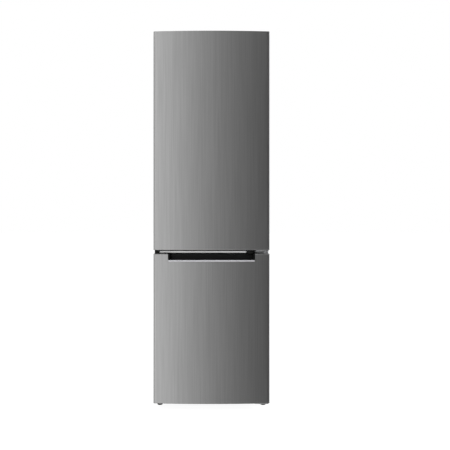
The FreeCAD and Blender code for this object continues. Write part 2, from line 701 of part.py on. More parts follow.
def cabinet_foam():
    """The foam that fills the shell round both liners."""
    gap = d.fit
    front, rear = cabinet_y + d.liner + gap, back_y - d.steel - d.bend - gap
    low, high = d.base_height + d.steel + gap, cabinet_top_z - d.steel - gap
    slant_y, slant_z = bay_y + d.bay_slant, bay_top_z - d.bay_slant
    over = d.steel + gap
    outline = [
        (front, low), (bay_y - over, low, d.bend), (bay_y - over, slant_z + over / 2),
        (slant_y - over / 2, bay_top_z + over), (rear, bay_top_z + over), (rear, high), (front, high),
    ]
    fill = pad("foam_fill", "x", *mirrored_pair(half - d.steel - gap), outline)
    fridge = block("fridge_space", mirrored_pair(fridge_x + gap), (cabinet_y, fridge_rear_y + gap),
                   (fridge_low_z - gap, fridge_high_z + gap))
    freezer = freezer_tub("freezer_space", gap)
    rail = block("rail_space", mirrored_pair(half), (cabinet_y, cabinet_y + d.mullion_return + gap),
                 (mullion_low_z - gap, mullion_high_z + gap))
    channel = rod("drain_channel", "z", drain_space, (d.drain_offset, drain_y, bay_top_z),
                  drain_z - bay_top_z)
    wide = drain_space + gap
    spout = block("spout_channel", (d.drain_offset - wide, d.drain_offset + wide),
                  (fridge_rear_y - d.overrun, drain_y + wide), (drain_z - wide * 2, drain_z + wide))
    return piece(cut("foam", fill, fridge, freezer, rail, channel, spout), "cabinet_foam")


def drain_tube():
    """The defrost drain, from the fridge's back wall down into the compressor bay."""
    end = bay_top_z - d.drain_end
    mouth = fridge_rear_y - d.liner

    def elbow(name, radius, over):
        path = [(mouth - over, drain_z), (drain_y, drain_z, d.drain_radius), (drain_y, end - over)]
        return swept(name, "x", d.drain_offset, path, radius)

    return piece(cut("drain", elbow("drain_outside", d.drain_radius, as_size(0)),
                     elbow("drain_inside", d.drain_bore, d.overrun)), "drain_tube")


# Glass panes, their trims and the crisper
pane_x = place("pane_x", fridge_x - d.liner - d.shelf_side_gap)
pane_front_y = place("pane_front_y", cabinet_y + d.shelf_front)
pane_rear_y = place("pane_rear_y", fridge_rear_y - d.liner - d.shelf_rear_gap)


def glass_pane(node, step):
    z = shelf_level(step)
    outline = rectangle(mirrored_pair(pane_x), (pane_front_y, pane_rear_y))
    return piece(pad(f"{node}_sheet", "z", z, z + d.shelf_glass, outline), node)


def pane_trim(name, step, edge, way):
    """A channel that grips the front or rear edge of a pane; way points out of the pane."""
    w, gap = d.shelf_trim_wall, d.fit
    low, high = shelf_level(step) - gap, shelf_level(step) + d.shelf_glass + gap
    spare = (d.shelf_trim_height - d.shelf_glass) / 2
    outside, slot, inside = edge + (gap + w) * way, edge + gap * way, edge - d.shelf_trim_depth * way
    outline = [
        (inside, low - spare), (outside, low - spare), (outside, high + spare),
        (inside, high + spare), (inside, high), (slot, high), (slot, low), (inside, low),
    ]
    return pad(name, "x", *mirrored_pair(fridge_x - d.liner - d.ledge_width - gap), outline)


def shelf_trims():
    trims = []
    for step in [0] + shelf_steps:
        trims.append(pane_trim(f"front_trim_{step}", step, pane_front_y, -1))
        trims.append(pane_trim(f"rear_trim_{step}", step, pane_rear_y, 1))
    return piece(group("trims", *trims), "shelf_trims")


def drawer(node, half_width, y, z, corner, wall, grip_depth, grip_height, grip_wall):
    """A drawer with a pull lip along the top of its front."""
    x = mirrored_pair(half_width)
    outer = pad(f"{node}_outside", "z", *z, rectangle(x, y, corner))
    inner = pad(f"{node}_inside", "z", z[0] + wall, z[1] + d.overrun,
                rectangle((x[0] + wall, x[1] - wall), (y[0] + wall, y[1] - wall), corner - wall))
    front, top = y[0], z[1]
    pull = [
        (front + corner, top - wall), (front - grip_depth + grip_wall, top - wall),
        (front - grip_depth + grip_wall, top - grip_height), (front - grip_depth, top - grip_height),
        (front - grip_depth, top, grip_wall), (front + corner, top),
    ]
    lip = pad(f"{node}_pull", "x", *mirrored_pair(half_width - corner), pull)
    lipped = fuse(f"{node}_lipped", outer, lip)
    return piece(cut(f"{node}_hollow", lipped, inner), node)


def crisper_drawer():
    half_width = fridge_x - d.liner - d.crisper_side_gap
    y = (pane_front_y + d.fit, fridge_rear_y - d.liner - d.crisper_rear_gap)
    low = fridge_low_z + d.liner + d.fit
    return drawer("crisper_drawer", half_width, y, (low, low + d.crisper_height), d.crisper_corner,
                  d.crisper_wall, d.crisper_grip_depth, d.crisper_grip, d.crisper_wall)


# Light and thermostat housing, under the fridge's roof
housing_top_z = place("housing_top_z", fridge_high_z - d.liner - d.fit)
housing_low_z = place("housing_low_z", housing_top_z - d.housing_height)
housing_front_y = place("housing_front_y", cabinet_y + d.housing_front)
knob_z = place("knob_z", housing_low_z + d.housing_height / 2)


def lens_outline(grow):
    x = (-d.lens_offset - d.lens_width / 2 - grow, d.lens_width / 2 - d.lens_offset + grow)
    middle = housing_front_y + d.housing_depth / 2
    y = (middle - d.lens_depth / 2 - grow, middle + d.lens_depth / 2 + grow)
    return rectangle(x, y, d.lens_corner)


def control_housing():
    """An open-topped moulding with a window for the light and a hole for the knob."""
    w = d.housing_wall
    x, y = mirrored_pair(d.housing_width / 2), (housing_front_y, housing_front_y + d.housing_depth)
    outer = pad("housing_outside", "z", housing_low_z, housing_top_z, rectangle(x, y, d.housing_corner))
    inner = pad("housing_inside", "z", housing_low_z + w, housing_top_z + d.overrun,
                rectangle((x[0] + w, x[1] - w), (y[0] + w, y[1] - w), d.housing_corner - w))
    window = pad("housing_window", "z", housing_low_z - d.overrun, housing_low_z + w + d.overrun,
                 lens_outline(d.fit))
    hole = rod("knob_hole", "y", d.knob_stem_radius + d.running_fit,
               (d.knob_offset, housing_front_y - d.overrun, knob_z), d.overrun * 2 + w)
    return piece(cut("housing", outer, inner, window, hole), "control_housing")


def lamp_lens():
    low, high = housing_low_z - d.lens_drop, housing_low_z + d.housing_wall
    outer = pad("lens_outside", "z", low, high, lens_outline(as_size(0)))
    inner = pad("lens_inside", "z", low + d.housing_wall, high + d.overrun,
                lens_outline(-d.housing_wall * d.lens_wall_share))
    return piece(cut("lens", outer, inner), "lamp_lens")


def thermostat_knob():
    """A round knob with a grip bar, on a stem through the housing's front."""
    back = housing_front_y - d.fit
    front = back - d.knob_length
    disc = pad("knob_disc", "y", front + d.knob_grip, back,
               sixteen_sides(d.knob_offset, knob_z, d.knob_radius))
    tall = d.knob_radius * d.knob_bar_share
    bar = pad("knob_bar", "y", front, front + d.knob_grip * 2,
              rectangle((d.knob_offset - d.knob_grip / 2, d.knob_offset + d.knob_grip / 2),
                        (knob_z - tall, knob_z + tall), d.knob_bar_corner))
    stem = rod("knob_stem", "y", d.knob_stem_radius, (d.knob_offset, back, knob_z),
               d.fit + d.housing_wall + d.knob_grip)
    return piece(fuse("knob", disc, bar, stem), "thermostat_knob")


# Freezer evaporators and drawers
freezer_roof_z = place("freezer_roof_z", freezer_high_z - d.liner)
lower_evaporator_z = place("lower_evaporator_z", step_top_z + d.liner + d.evaporator_tube + d.fit)
upper_evaporator_z = place("upper_evaporator_z", lower_evaporator_z
                           + (freezer_roof_z - lower_evaporator_z) * d.middle_drawer_share)
drawer_front_y = place("drawer_front_y", cabinet_y + d.drawer_front + d.drawer_grip_depth)


def serpentine(runs, u, v):
    """Corners of a path that runs to and fro along its first axis."""
    count = int(runs.value)
    pitch = (v[1] - v[0]) / (runs - 1)
    bend = pitch * d.tube_bend_share
    corners = []
    for run in range(count):
        near, far = (u[0], u[1]) if run % 2 == 0 else (u[1], u[0])
        level = v[0] + pitch * run
        corners += [(near, level, bend), (far, level, bend)]
    corners[0] = corners[0][:2]
    corners[-1] = corners[-1][:2]
    return corners


def bars(name, count, x, thickness, across, along):
    """Evenly spaced square wires between two places; across and along are pairs of places."""
    number = int(count.value)
    pitch = (x[1] - x[0]) / (count - 1)
    return [block(f"{name}_{i}", (x[0] + pitch * i - thickness / 2, x[0] + pitch * i + thickness / 2),
                  across, along) for i in range(number)]


def evaporator(node, z):
    """A shelf of refrigerant tube with wires welded along its top."""
    reach = freezer_x - d.liner - d.evaporator_side_gap
    y = (cabinet_y + d.evaporator_front, freezer_rear_y - d.liner - d.evaporator_rear_gap)
    tube = swept(f"{node}_tube", "z", z, serpentine(d.evaporator_runs, mirrored_pair(reach), y),
                 d.evaporator_tube)
    seat = z + d.evaporator_tube + d.weld_gap
    inner = reach - d.drawer_corner * 2
    wires = bars(f"{node}_wire", d.evaporator_wires, mirrored_pair(inner), d.evaporator_wire,
                 (y[0] - d.evaporator_tube, y[1] + d.evaporator_tube), (seat, seat + d.evaporator_wire))
    return piece(group(f"{node}_welded", tube, *wires), node)


def freezer_drawer(node, low, high, rear):
    half_width = freezer_x - d.liner - d.drawer_side_gap
    return drawer(node, half_width, (drawer_front_y, rear), (low, high), d.drawer_corner,
                  d.drawer_wall, d.drawer_grip_depth, d.drawer_grip_height, d.drawer_panel)


def freezer_drawers():
    wire = d.evaporator_tube + d.weld_gap + d.evaporator_wire + d.fit
    deep = freezer_rear_y - d.liner - d.drawer_rear_gap
    shallow = step_y - d.liner - d.drawer_rear_gap
    top_gap = d.evaporator_tube + d.drawer_space
    freezer_drawer("lower_freezer_drawer", freezer_low_z + d.liner + d.fit,
                   lower_evaporator_z - top_gap, shallow)
    freezer_drawer("middle_freezer_drawer", lower_evaporator_z + wire, upper_evaporator_z - top_gap, deep)
    freezer_drawer("upper_freezer_drawer", upper_evaporator_z + wire, freezer_roof_z - d.drawer_space, deep)


# Doors
def door_slab(name, inset, low, high, back=None, dress_corner=soften):
    """The door's outline seen from above, shrunk all round by the inset."""
    inset = as_size(inset)
    rear = door_back_y - inset if back is None else back
    return crowned(name, half - inset, edge_y + inset, apex_y + inset, rear, low, high,
                   d.door_corner - inset, dress_corner)


def hinge_bore(name, low, length):
    return rod(name, "z", d.pin_radius + d.running_fit, (hinge_x, hinge_y, low), length)


def door_skin(node, low, high, *tools):
    """The steel skin of a door: a crowned front, two sides and narrow returns at the back."""
    t = d.steel
    outer = door_slab(f"{node}_outside", 0, low, high)
    inner = door_slab(f"{node}_inside", t, low - d.overrun, high + d.overrun)
    window = block(f"{node}_window", mirrored_pair(half - d.door_return),
                   (door_back_y - t * 2, door_back_y + t), (low - d.overrun, high + d.overrun))
    return piece(cut(node + "_folded", outer, inner, window, *tools), node)


def end_cap(name, end, way, *tools):
    """A moulded cap with a band flush with the skin; way points from the end into the door."""
    band, depth = end + d.cap_band * way, end + d.cap_depth * way
    inset = d.steel + d.fit
    levels = (lambda a, b: (a, b)) if way > 0 else (lambda a, b: (b, a))
    rim_slab = door_slab(f"{name}_band", 0, *levels(end, band))
    plug = door_slab(f"{name}_plug", inset, *levels(band, depth), dress_corner=bevel)
    reach = d.pin_reach + d.steel
    low, length = (end - d.overrun, reach + d.overrun) if way > 0 else (end - reach, reach + d.overrun)
    return cut(name, fuse(f"{name}_whole", rim_slab, plug), hinge_bore(f"{name}_bore", low, length), *tools)


def seal_ring(name, plate, inset, width, y):
    """One layer of the gasket's frame, as deep as the pair of places."""
    x, z = plate
    outer_x, outer_z = (x[0] + inset, x[1] - inset), (z[0] + inset, z[1] - inset)
    inner_x = (outer_x[0] + width, outer_x[1] - width)
    inner_z = (outer_z[0] + width, outer_z[1] - width)
    return pad(name, "y", *y, rectangle(outer_x, outer_z), rectangle(inner_x, inner_z))


def gasket(node, z):
    """The magnetic seal: a bellows base on the door and a narrower bead at the cabinet."""
    bounds = (mirrored_pair(half - d.gasket_inset), (z[0] + d.gasket_margin, z[1] - d.gasket_margin))
    middle = door_back_y + d.seal_gap * d.seal_base_share
    base = seal_ring(f"{node}_base", bounds, as_size(0), d.gasket_width, (door_back_y, middle))
    bead = seal_ring(f"{node}_bead", bounds, d.gasket_lip, d.gasket_width - d.gasket_lip * 2,
                     (middle, cabinet_y - d.fit))
    return piece(fuse(f"{node}_section", base, bead), node)


door_plate_x = mirrored_pair(half - d.door_return - d.fit)


def plate_levels(low, high):
    """Where a door's liner and foam lie between its end caps."""
    return (low + d.cap_depth + d.fit, high - d.cap_depth - d.fit)


def door_plate(name, z):
    return pad(name, "y", door_back_y - d.door_liner, door_back_y, rectangle(door_plate_x, z))


# Fridge door
def fridge_door_skin():
    keep = edge_y + d.door_corner * d.skin_keep_share
    inner = half - d.door_return * d.return_keep_share
    sides = [block(f"upper_skin_cut_{i}", x, (keep, door_back_y + d.overrun), (cap_top_z, top_z + d.overrun))
             for i, x in enumerate(((-half - d.overrun, -inner), (inner, half + d.overrun)))]
    return door_skin("fridge_door_skin", upper_z + d.cap_band, top_z, *sides)


def fridge_door_caps():
    """The lower cap, and the upper one, which leaves room for the hinge arm behind its upstand."""
    lower = end_cap("fridge_lower_cap", upper_z, 1)
    inset = d.steel + d.fit
    plug = door_slab("fridge_upper_plug", inset, cap_top_z - d.cap_depth, cap_top_z,
                     dress_corner=bevel)
    front = door_slab("fridge_upstand", inset, cap_top_z, top_z - d.fit)
    behind = block("behind_upstand", mirrored_pair(half),
                   (edge_y + d.steel + d.cap_upstand, door_back_y + d.overrun),
                   (cap_top_z, top_z + d.overrun))
    reach = d.pin_reach + d.steel
    bore = hinge_bore("fridge_upper_bore", cap_top_z - reach, reach + d.overrun)
    upper = cut("fridge_upper_cap", fuse("fridge_upper_whole", plug, cut("upstand", front, behind)), bore)
    return piece(group("fridge_caps", lower, upper), "fridge_door_caps")


fridge_plate_z = plate_levels(upper_z, cap_top_z)
dyke_x = place("dyke_x", fridge_x - d.dyke_gap)
dyke_low_z = place("dyke_low_z", fridge_low_z + d.dyke_gap)
dyke_high_z = place("dyke_high_z", fridge_high_z - d.dyke_gap)
dyke_inner_x = place("dyke_inner_x", dyke_x - d.dyke_width)
dyke_floor_z = place("dyke_floor_z", dyke_low_z + d.dyke_width)
dyke_y = place("dyke_y", door_back_y + d.dyke_depth)


def dyke_ring(name, inset, y):
    """The raised frame inside the fridge door, shrunk in its section by the inset."""
    outer = rectangle(mirrored_pair(dyke_x - inset), (dyke_low_z + inset, dyke_high_z - inset),
                      d.dyke_corner - inset)
    inner_z = (dyke_floor_z - inset, dyke_high_z - d.dyke_width + inset)
    inner = rectangle(mirrored_pair(dyke_inner_x + inset), inner_z, d.dyke_corner / 2 + inset)
    return pad(name, "y", *y, outer, inner)


bin_room = place("bin_room", dyke_high_z - d.dyke_width - dyke_floor_z)
middle_bin_rise = place("middle_bin_rise", bin_room * d.middle_bin_share)
dairy_bin_rise = place("dairy_bin_rise", bin_room * d.dairy_bin_share)
bin_levels = [("bottle_bin", d.bottle_bin_rise, d.bottle_bin_height),
              ("middle_bin", middle_bin_rise, d.middle_bin_height),
              ("dairy_bin", dairy_bin_rise, d.dairy_bin_height)]


def fridge_door_liner():
    """The door's inner skin: a hollow raised frame with lugs that carry the bins."""
    w = d.door_liner
    ring = bevel(dyke_ring("dyke_outside", as_size(0), (door_back_y - w, dyke_y)),
                 d.dyke_edge, at("y", dyke_y))
    core = bevel(dyke_ring("dyke_inside", w, (door_back_y - w - d.overrun, dyke_y - w)),
                 d.dyke_edge - w / 2, at("y", dyke_y - w))
    lugs = []
    for name, rise, height in bin_levels:
        top = dyke_floor_z + rise - d.fit
        for side, x in (("left", (-dyke_inner_x - w / 2, -dyke_inner_x + d.bin_lug)),
                        ("right", (dyke_inner_x - d.bin_lug, dyke_inner_x + w / 2))):
            lugs.append(block(f"{name}_lug_{side}", x, (door_back_y - w / 2, dyke_y - d.dyke_edge),
                              (top - d.bin_lug_height, top)))
    shell = cut("dyke_shell", fuse("dyke_on_plate", door_plate("fridge_plate", fridge_plate_z), ring), core)
    return piece(fuse("fridge_door_lined", shell, *lugs), "fridge_door_liner")


def fridge_door_foam():
    gap = d.fit
    slab = door_slab("fridge_fill", d.steel + gap, *fridge_plate_z,
                     back=door_back_y - d.door_liner - gap, dress_corner=bevel)
    w = d.door_liner
    core = dyke_ring("dyke_fill", w + gap, (door_back_y - w * 2, dyke_y - d.dyke_edge - w))
    return piece(fuse("fridge_door_filled", slab, core), "fridge_door_foam")


def door_bin(node, rise, height):
    """A bin on the fridge door, rounded where it faces the shelves."""
    x, low = dyke_inner_x - d.fit, dyke_floor_z + rise
    y = (door_back_y + d.fit, door_back_y + d.bin_depth)
    w, r = d.bin_wall, d.bin_corner
    outer = pad(f"{node}_outside", "z", low, low + height,
                [(-x, y[0]), (x, y[0]), (x, y[1], r), (-x, y[1], r)])
    inner = pad(f"{node}_inside", "z", low + w, low + height + d.overrun,
                [(w - x, y[0] + w), (x - w, y[0] + w), (x - w, y[1] - w, r - w), (w - x, y[1] - w, r - w)])
    return cut(f"{node}_hollow", outer, inner)


dairy_top_z = place("dairy_top_z", dyke_floor_z + dairy_bin_rise + d.dairy_bin_height)
lid_y = place("lid_y", door_back_y + d.lid_ear / 2 + d.lid_pin)
lid_z = place("lid_z", dairy_top_z + d.lid_hinge_rise)


def door_bins():
    for name, rise, height in bin_levels[:2]:
        piece(door_bin(name, rise, height), name)
    name, rise, height = bin_levels[2]
    x, w = dyke_inner_x - d.fit, d.bin_wall
    back, front = door_back_y + d.fit, lid_y + d.lid_ear / 2
    low, high = dairy_top_z - w, lid_z + d.lid_ear / 2
    outline = [(back, low), (front, low), (front, high, w), (back, high, w)]
    ears = [pad(f"lid_ear_{side}", "x", *span, outline)
            for side, span in (("left", (-x, w - x)), ("right", (x - w, x)))]
    hole = rod("lid_holes", "x", d.lid_pin + d.running_fit, (-x - d.overrun, lid_y, lid_z),
               (x + d.overrun) * 2)
    whole = fuse("dairy_bin_whole", door_bin(name, rise, height), *ears)
    return piece(cut("dairy_bin_eared", whole, hole), name)


def dairy_lid():
    """A clear lid that turns up on two pins in the bin's ears."""
    w = d.lid_wall
    front = door_back_y + d.bin_depth
    outline = [
        (lid_y, lid_z - w / 2), (lid_y, lid_z + w / 2), (front, lid_z + w / 2, d.bin_corner),
        (front, dairy_top_z + d.fit), (front - w, dairy_top_z + d.fit),
        (front - w, lid_z - w / 2, d.bin_corner - w),
    ]
    inside = dyke_inner_x - d.fit - d.bin_wall - d.lid_side_gap
    cover = pad("lid_cover", "x", *mirrored_pair(inside), outline)
    reach = dyke_inner_x - d.fit * 2
    bead = rod("lid_bead", "x", d.lid_pin, (-reach, lid_y, lid_z), reach * 2)
    return piece(fuse("lid", cover, bead), "dairy_lid")


# Freezer door
notch_half = place("notch_half", d.notch_width / 2)
notch_low_z = place("notch_low_z", lower_top_z - d.notch_height)
notch_back_y = place("notch_back_y", apex_y + d.notch_depth)
freezer_plate_z = plate_levels(lower_z, lower_top_z)


def notch_space(name, grow, back):
    return block(name, mirrored_pair(notch_half + grow), (lip_y - d.overrun, back),
                 (notch_low_z - grow, lower_top_z + d.overrun))


def freezer_door_skin():
    notch = notch_space("skin_notch", as_size(0), edge_y + d.door_corner)
    return door_skin("freezer_door_skin", lower_z + d.cap_band, lower_top_z - d.cap_band, notch)


def freezer_door_caps():
    lower = end_cap("freezer_lower_cap", lower_z, 1)
    notch = notch_space("cap_notch", d.fit, notch_back_y + d.fit)
    upper = end_cap("freezer_upper_cap", lower_top_z, -1, notch)
    return piece(group("freezer_caps", lower, upper), "freezer_door_caps")


def freezer_door_liner():
    """The freezer door's inner skin, with one low raised field."""
    w = d.door_liner
    x = mirrored_pair(half - d.plateau_inset)
    z = (freezer_low_z + d.plateau_margin, freezer_high_z - d.plateau_margin)
    far = door_back_y + d.plateau_depth
    field = bevel(pad("plateau_outside", "y", door_back_y - w, far, rectangle(x, z, d.dyke_corner)),
                  d.dyke_edge, at("y", far))
    inner = rectangle((x[0] + w, x[1] - w), (z[0] + w, z[1] - w), d.dyke_corner - w)
    core = bevel(pad("plateau_inside", "y", door_back_y - w - d.overrun, far - w, inner),
                 d.dyke_edge - w / 2, at("y", far - w))
    whole = fuse("plateau_on_plate", door_plate("freezer_plate", freezer_plate_z), field)
    return piece(cut("freezer_door_lined", whole, core), "freezer_door_liner")


def freezer_door_foam():
    gap = d.fit
    slab = door_slab("freezer_fill", d.steel + gap, *freezer_plate_z,
                     back=door_back_y - d.door_liner - gap, dress_corner=bevel)
    notch = notch_space("foam_notch", gap, notch_back_y + gap)
    return piece(cut("freezer_door_filled", slab, notch), "freezer_door_foam")


def handle_insert():
    """The dark grip tray let into the top of the freezer door, with splayed cheeks."""
    w, gap = d.insert_wall, d.fit
    x = notch_half - gap
    outer = block("insert_outside", mirrored_pair(x), (lip_y, notch_back_y), (notch_low_z + gap, lower_top_z))
    narrow = x - w - d.cheek_splay
    inner = pad("insert_inside", "z", notch_low_z + d.insert_floor_drop, lower_top_z + d.overrun,
                [(w - x, lip_y - d.overrun), (x - w, lip_y - d.overrun),
                 (narrow, notch_back_y - w, d.lip_edge), (-narrow, notch_back_y - w, d.lip_edge)])
    lip_seat = block("lip_seat", mirrored_pair(half), (lip_y - d.overrun, apex_y + d.lip_depth + gap),
                     (notch_low_z - d.overrun, notch_low_z + gap * 2 + d.lip_height))
    front = door_slab("insert_front", 0, notch_low_z - d.overrun, lower_top_z + d.overrun)
    return piece(common("insert", cut("insert_tray", outer, inner, lip_seat), front), "handle_insert")


def handle_lip():
    """The bright pull lip along the front of the tray, following the door's crown."""
    w = notch_half - d.fit
    rise = d.door_crown * (w / half) * (w / half)
    low = notch_low_z + d.fit
    bar = crowned("lip_bar", w, lip_y + rise, lip_y, apex_y + d.lip_depth, low, low + d.lip_height)
    back = as_size(apex_y + d.lip_depth).value

    def front_edge(edge):
        return edge.BoundBox.YMax < back - tiny
    return piece(bevel(bar, d.lip_edge, front_edge), "handle_lip")


# Hinges
plate_right = place("plate_right", half - d.hinge_edge_gap)
tip_y = place("tip_y", hinge_y - d.collar_radius - d.plate_edge / 2)


def tip_corner(edge):
    box = edge.BoundBox
    upright = box.ZLength > tiny and box.XLength < tiny
    return upright and abs(box.YMax - tip_y.value) < tiny


def pin(name, radius, low, high):
    return rod(name, "z", radius, (hinge_x, hinge_y, low), high - low)


def top_outline(grow):
    """The top hinge seen from above: a plate on the roof and an arm out to the pin."""
    arm, front = d.arm_half_width + grow, cabinet_y + d.hinge_edge_gap - grow
    left = plate_right - d.top_plate_width - grow
    rear = cabinet_y + d.hinge_edge_gap + d.top_plate_length + grow
    right = plate_right + grow
    tip = hinge_y - arm
    end = arm * d.arm_end_share
    return [
        (hinge_x - arm, tip, end), (hinge_x + arm, tip, end), (hinge_x + arm, front), (right, front),
        (right, rear), (left, rear), (left, front), (hinge_x - arm, front),
    ]


def top_hinge():
    plate = pad("top_hinge_plate", "z", cabinet_top_z, cabinet_top_z + d.top_plate, top_outline(as_size(0)))
    piece(fuse("top_hinge", plate, pin("top_pin", d.pin_radius, cap_top_z - d.pin_reach, cabinet_top_z)),
          "top_hinge_bracket")
    w, gap = d.hinge_cover_wall, d.fit
    head = top_z - d.hinge_cover_drop
    outer = pad("hinge_cover_outside", "z", cabinet_top_z + gap, head, top_outline(gap + w))
    inner = pad("hinge_cover_inside", "z", cabinet_top_z + gap - d.overrun, head - w, top_outline(gap))
    return piece(cut("hinge_cover", outer, inner), "top_hinge_cover")


def middle_hinge():
    """A bracket on the mullion that carries both doors, with a pin up and a pin down."""
    middle, t = mullion_z + d.middle_plate_rise, d.middle_plate / 2
    flange, tall = cabinet_y - d.middle_flange, d.middle_flange_height / 2
    low, high = middle - t, middle + t
    outline = [
        (tip_y, low), (flange, low), (flange, mullion_z - tall), (cabinet_y, mullion_z - tall),
        (cabinet_y, mullion_z + tall), (flange, mullion_z + tall), (flange, high), (tip_y, high),
    ]
    bar = pad("middle_plate_bar", "x", plate_right - d.middle_plate_width, plate_right, outline)
    plate = bevel(bar, d.plate_edge, tip_corner)
    collar = pad("middle_collar", "z", lower_top_z + d.fit, upper_z - d.fit,
                 octagon(hinge_x, hinge_y, d.collar_radius))
    pins = pin("middle_pins", d.pin_radius, lower_top_z - d.pin_reach, upper_z + d.pin_reach)
    return piece(fuse("middle_hinge", plate, collar, pins), "middle_hinge_bracket")


# Feet
foot_x = place("foot_x", half - d.foot_inset)
foot_y = place("foot_y", cabinet_y + d.foot_set_back)
bracket_low_z = place("bracket_low_z", d.base_height - d.bottom_plate)
bracket_rear_y = place("bracket_rear_y", cabinet_y + d.hinge_edge_gap + d.bottom_plate_length)


def boss(name, x):
    """An eight-sided boss that takes a foot's stud."""
    return pad(name, "z", bracket_low_z - d.boss_length, d.base_height,
               octagon(x, foot_y, d.boss_radius))


def stud_hole(name, x):
    low = bracket_low_z - d.boss_length - d.overrun
    return rod(name, "z", d.stud_radius + d.running_fit, (x, foot_y, low),
               d.base_height + d.overrun - low)


def bottom_hinge():
    """A stepped plate under the cabinet, out under the freezer door to its lower pin."""
    t = d.bottom_plate
    high = lower_z - d.bottom_tongue_drop
    rear, front = bracket_rear_y, cabinet_y + d.hinge_edge_gap
    outline = [
        (rear, d.base_height), (front, d.base_height), (front, high), (tip_y, high), (tip_y, high - t),
        (front + t, high - t), (front + t, d.base_height - t), (rear, d.base_height - t),
    ]
    bar = pad("bottom_plate", "x", plate_right - d.bottom_plate_width, plate_right, outline)
    plate = bevel(bar, d.plate_edge, tip_corner)
    collar = pad("bottom_collar", "z", high - t / 2, lower_z - d.fit,
                 octagon(hinge_x, hinge_y, d.collar_radius))
    stem = pin("bottom_pin", d.pin_radius, high - t / 2, lower_z + d.pin_reach)
    whole = fuse("bottom_hinge_whole", plate, collar, stem, boss("right_boss", foot_x))
    return piece(cut("bottom_hinge", whole, stud_hole("right_stud_hole", foot_x)), "bottom_hinge_bracket")


def foot_bracket():
    x = (-plate_right, -plate_right + d.foot_bracket_width)
    plate = block("foot_plate_left", x, (cabinet_y + d.hinge_edge_gap, bracket_rear_y),
                  (bracket_low_z, d.base_height))
    whole = fuse("foot_bracket_whole", plate, boss("left_boss", -foot_x))
    return piece(cut("foot_bracket_bored", whole, stud_hole("left_stud_hole", -foot_x)), "foot_bracket")


def levelling_foot(node, x):
    """An eight-sided foot that a spanner can turn, on a threaded stud."""
    disc = pad(f"{node}_disc", "z", as_size(0), d.foot_height, octagon(x, foot_y, d.foot_radius))
    stud = rod(f"{node}_stud", "z", d.stud_radius, (x, foot_y, d.foot_height / 2),
               d.base_height - d.fit - d.foot_height / 2)
    return piece(fuse(f"{node}_whole", disc, stud), node)


# Trim between the doors
trim_left = place("trim_left", d.trim_left_inset - half)
trim_right = place("trim_right", half - d.trim_right_inset)


def divider_trim():
    w, tall = d.trim_wall, d.trim_height / 2
    front = edge_y + d.trim_set_back
    low, high = mullion_z - tall, mullion_z + tall
    outline = [
        (cabinet_y, low), (front, low, w), (front, high, w), (cabinet_y, high),
        (cabinet_y, high - w), (front + w, high - w), (front + w, low + w), (cabinet_y, low + w),
    ]
    return piece(pad("divider", "x", trim_left, trim_right, outline), "divider_trim")


def trim_end_caps():
    """The dark blocks at the ends of the trim, which fill the gap between the doors."""
    z = (mullion_z - d.left_block_height / 2, mullion_z + d.left_block_height / 2)
    y = (edge_y + d.trim_set_back / 2, cabinet_y)
    start = trim_right + d.block_gap
    spans = [(-plate_right + d.hinge_edge_gap, trim_left - d.fit), (start, start + d.right_block_width)]
    ends = [bevel(pad(f"trim_end_{i}", "x", *span, rectangle(y, z)), d.cap_edge, at("y", y[0]))
            for i, span in enumerate(spans)]
    return piece(group("trim_ends", *ends), "trim_end_caps")


# Compressor bay
rail_rear_y = place("rail_rear_y", back_y - d.rail_from_back)
rail_front_y = place("rail_front_y", rail_rear_y - d.rail_depth)
rail_top_z = place("rail_top_z", d.base_height + d.rail_wall)
plate_z = place("plate_z", rail_top_z + d.grommet_height)
pot_z = place("pot_z", plate_z + d.foot_plate)
pot_top_z = place("pot_top_z", pot_z + d.pot_height)
pot_y = place("pot_y", (rail_rear_y + rail_front_y) / 2)
pot_left = place("pot_left", d.compressor_offset - d.pot_length / 2)
pot_right = place("pot_right", d.compressor_offset + d.pot_length / 2)


def compressor_rail():
    """A channel across the bay that carries the compressor and the rear rollers."""
    w, r = d.rail_wall, d.rail_bend
    high = d.base_height + d.rail_flange
    low = d.base_height
    outline = [
        (rail_front_y, high), (rail_front_y, low, r), (rail_rear_y, low, r), (rail_rear_y, high),
        (rail_rear_y - w, high), (rail_rear_y - w, low + w, r - w), (rail_front_y + w, low + w, r - w),
        (rail_front_y + w, high),
    ]
    return piece(pad("rail", "x", *mirrored_pair(half - d.steel - d.fit), outline), "compressor_rail")


def grommet_spots():
    reach = d.pot_length / 2 + d.foot_plate_overhang - d.foot_plate_corner
    side = d.pot_depth / 2 - d.foot_plate_corner
    return [(d.compressor_offset + reach * i, pot_y + side * j) for i in (-1, 1) for j in (-1, 1)]


def compressor_grommets():
    feet = [pad(f"grommet_{i}", "z", rail_top_z, plate_z, octagon(x, y, d.grommet_radius))
            for i, (x, y) in enumerate(grommet_spots())]
    return piece(group("grommets", *feet), "compressor_grommets")


def pot_outline(grow):
    """The pot from above, its wide corners made of flats."""
    x = (pot_left - grow, pot_right + grow)
    y = (pot_y - d.pot_depth / 2 - grow, pot_y + d.pot_depth / 2 + grow)
    c, n = d.pot_corner, d.pot_corner * d.pot_flat_share
    return [
        (x[0], y[0] + c), (x[0] + n, y[0] + n), (x[0] + c, y[0]),
        (x[1] - c, y[0]), (x[1] - n, y[0] + n), (x[1], y[0] + c),
        (x[1], y[1] - c), (x[1] - n, y[1] - n), (x[1] - c, y[1]),
        (x[0] + c, y[1]), (x[0] + n, y[1] - n), (x[0], y[1] - c),
    ]


def seam_levels(grow):
    seam = pot_z + d.pot_height * d.seam_share
    return (seam - grow, seam + d.seam_height + grow)


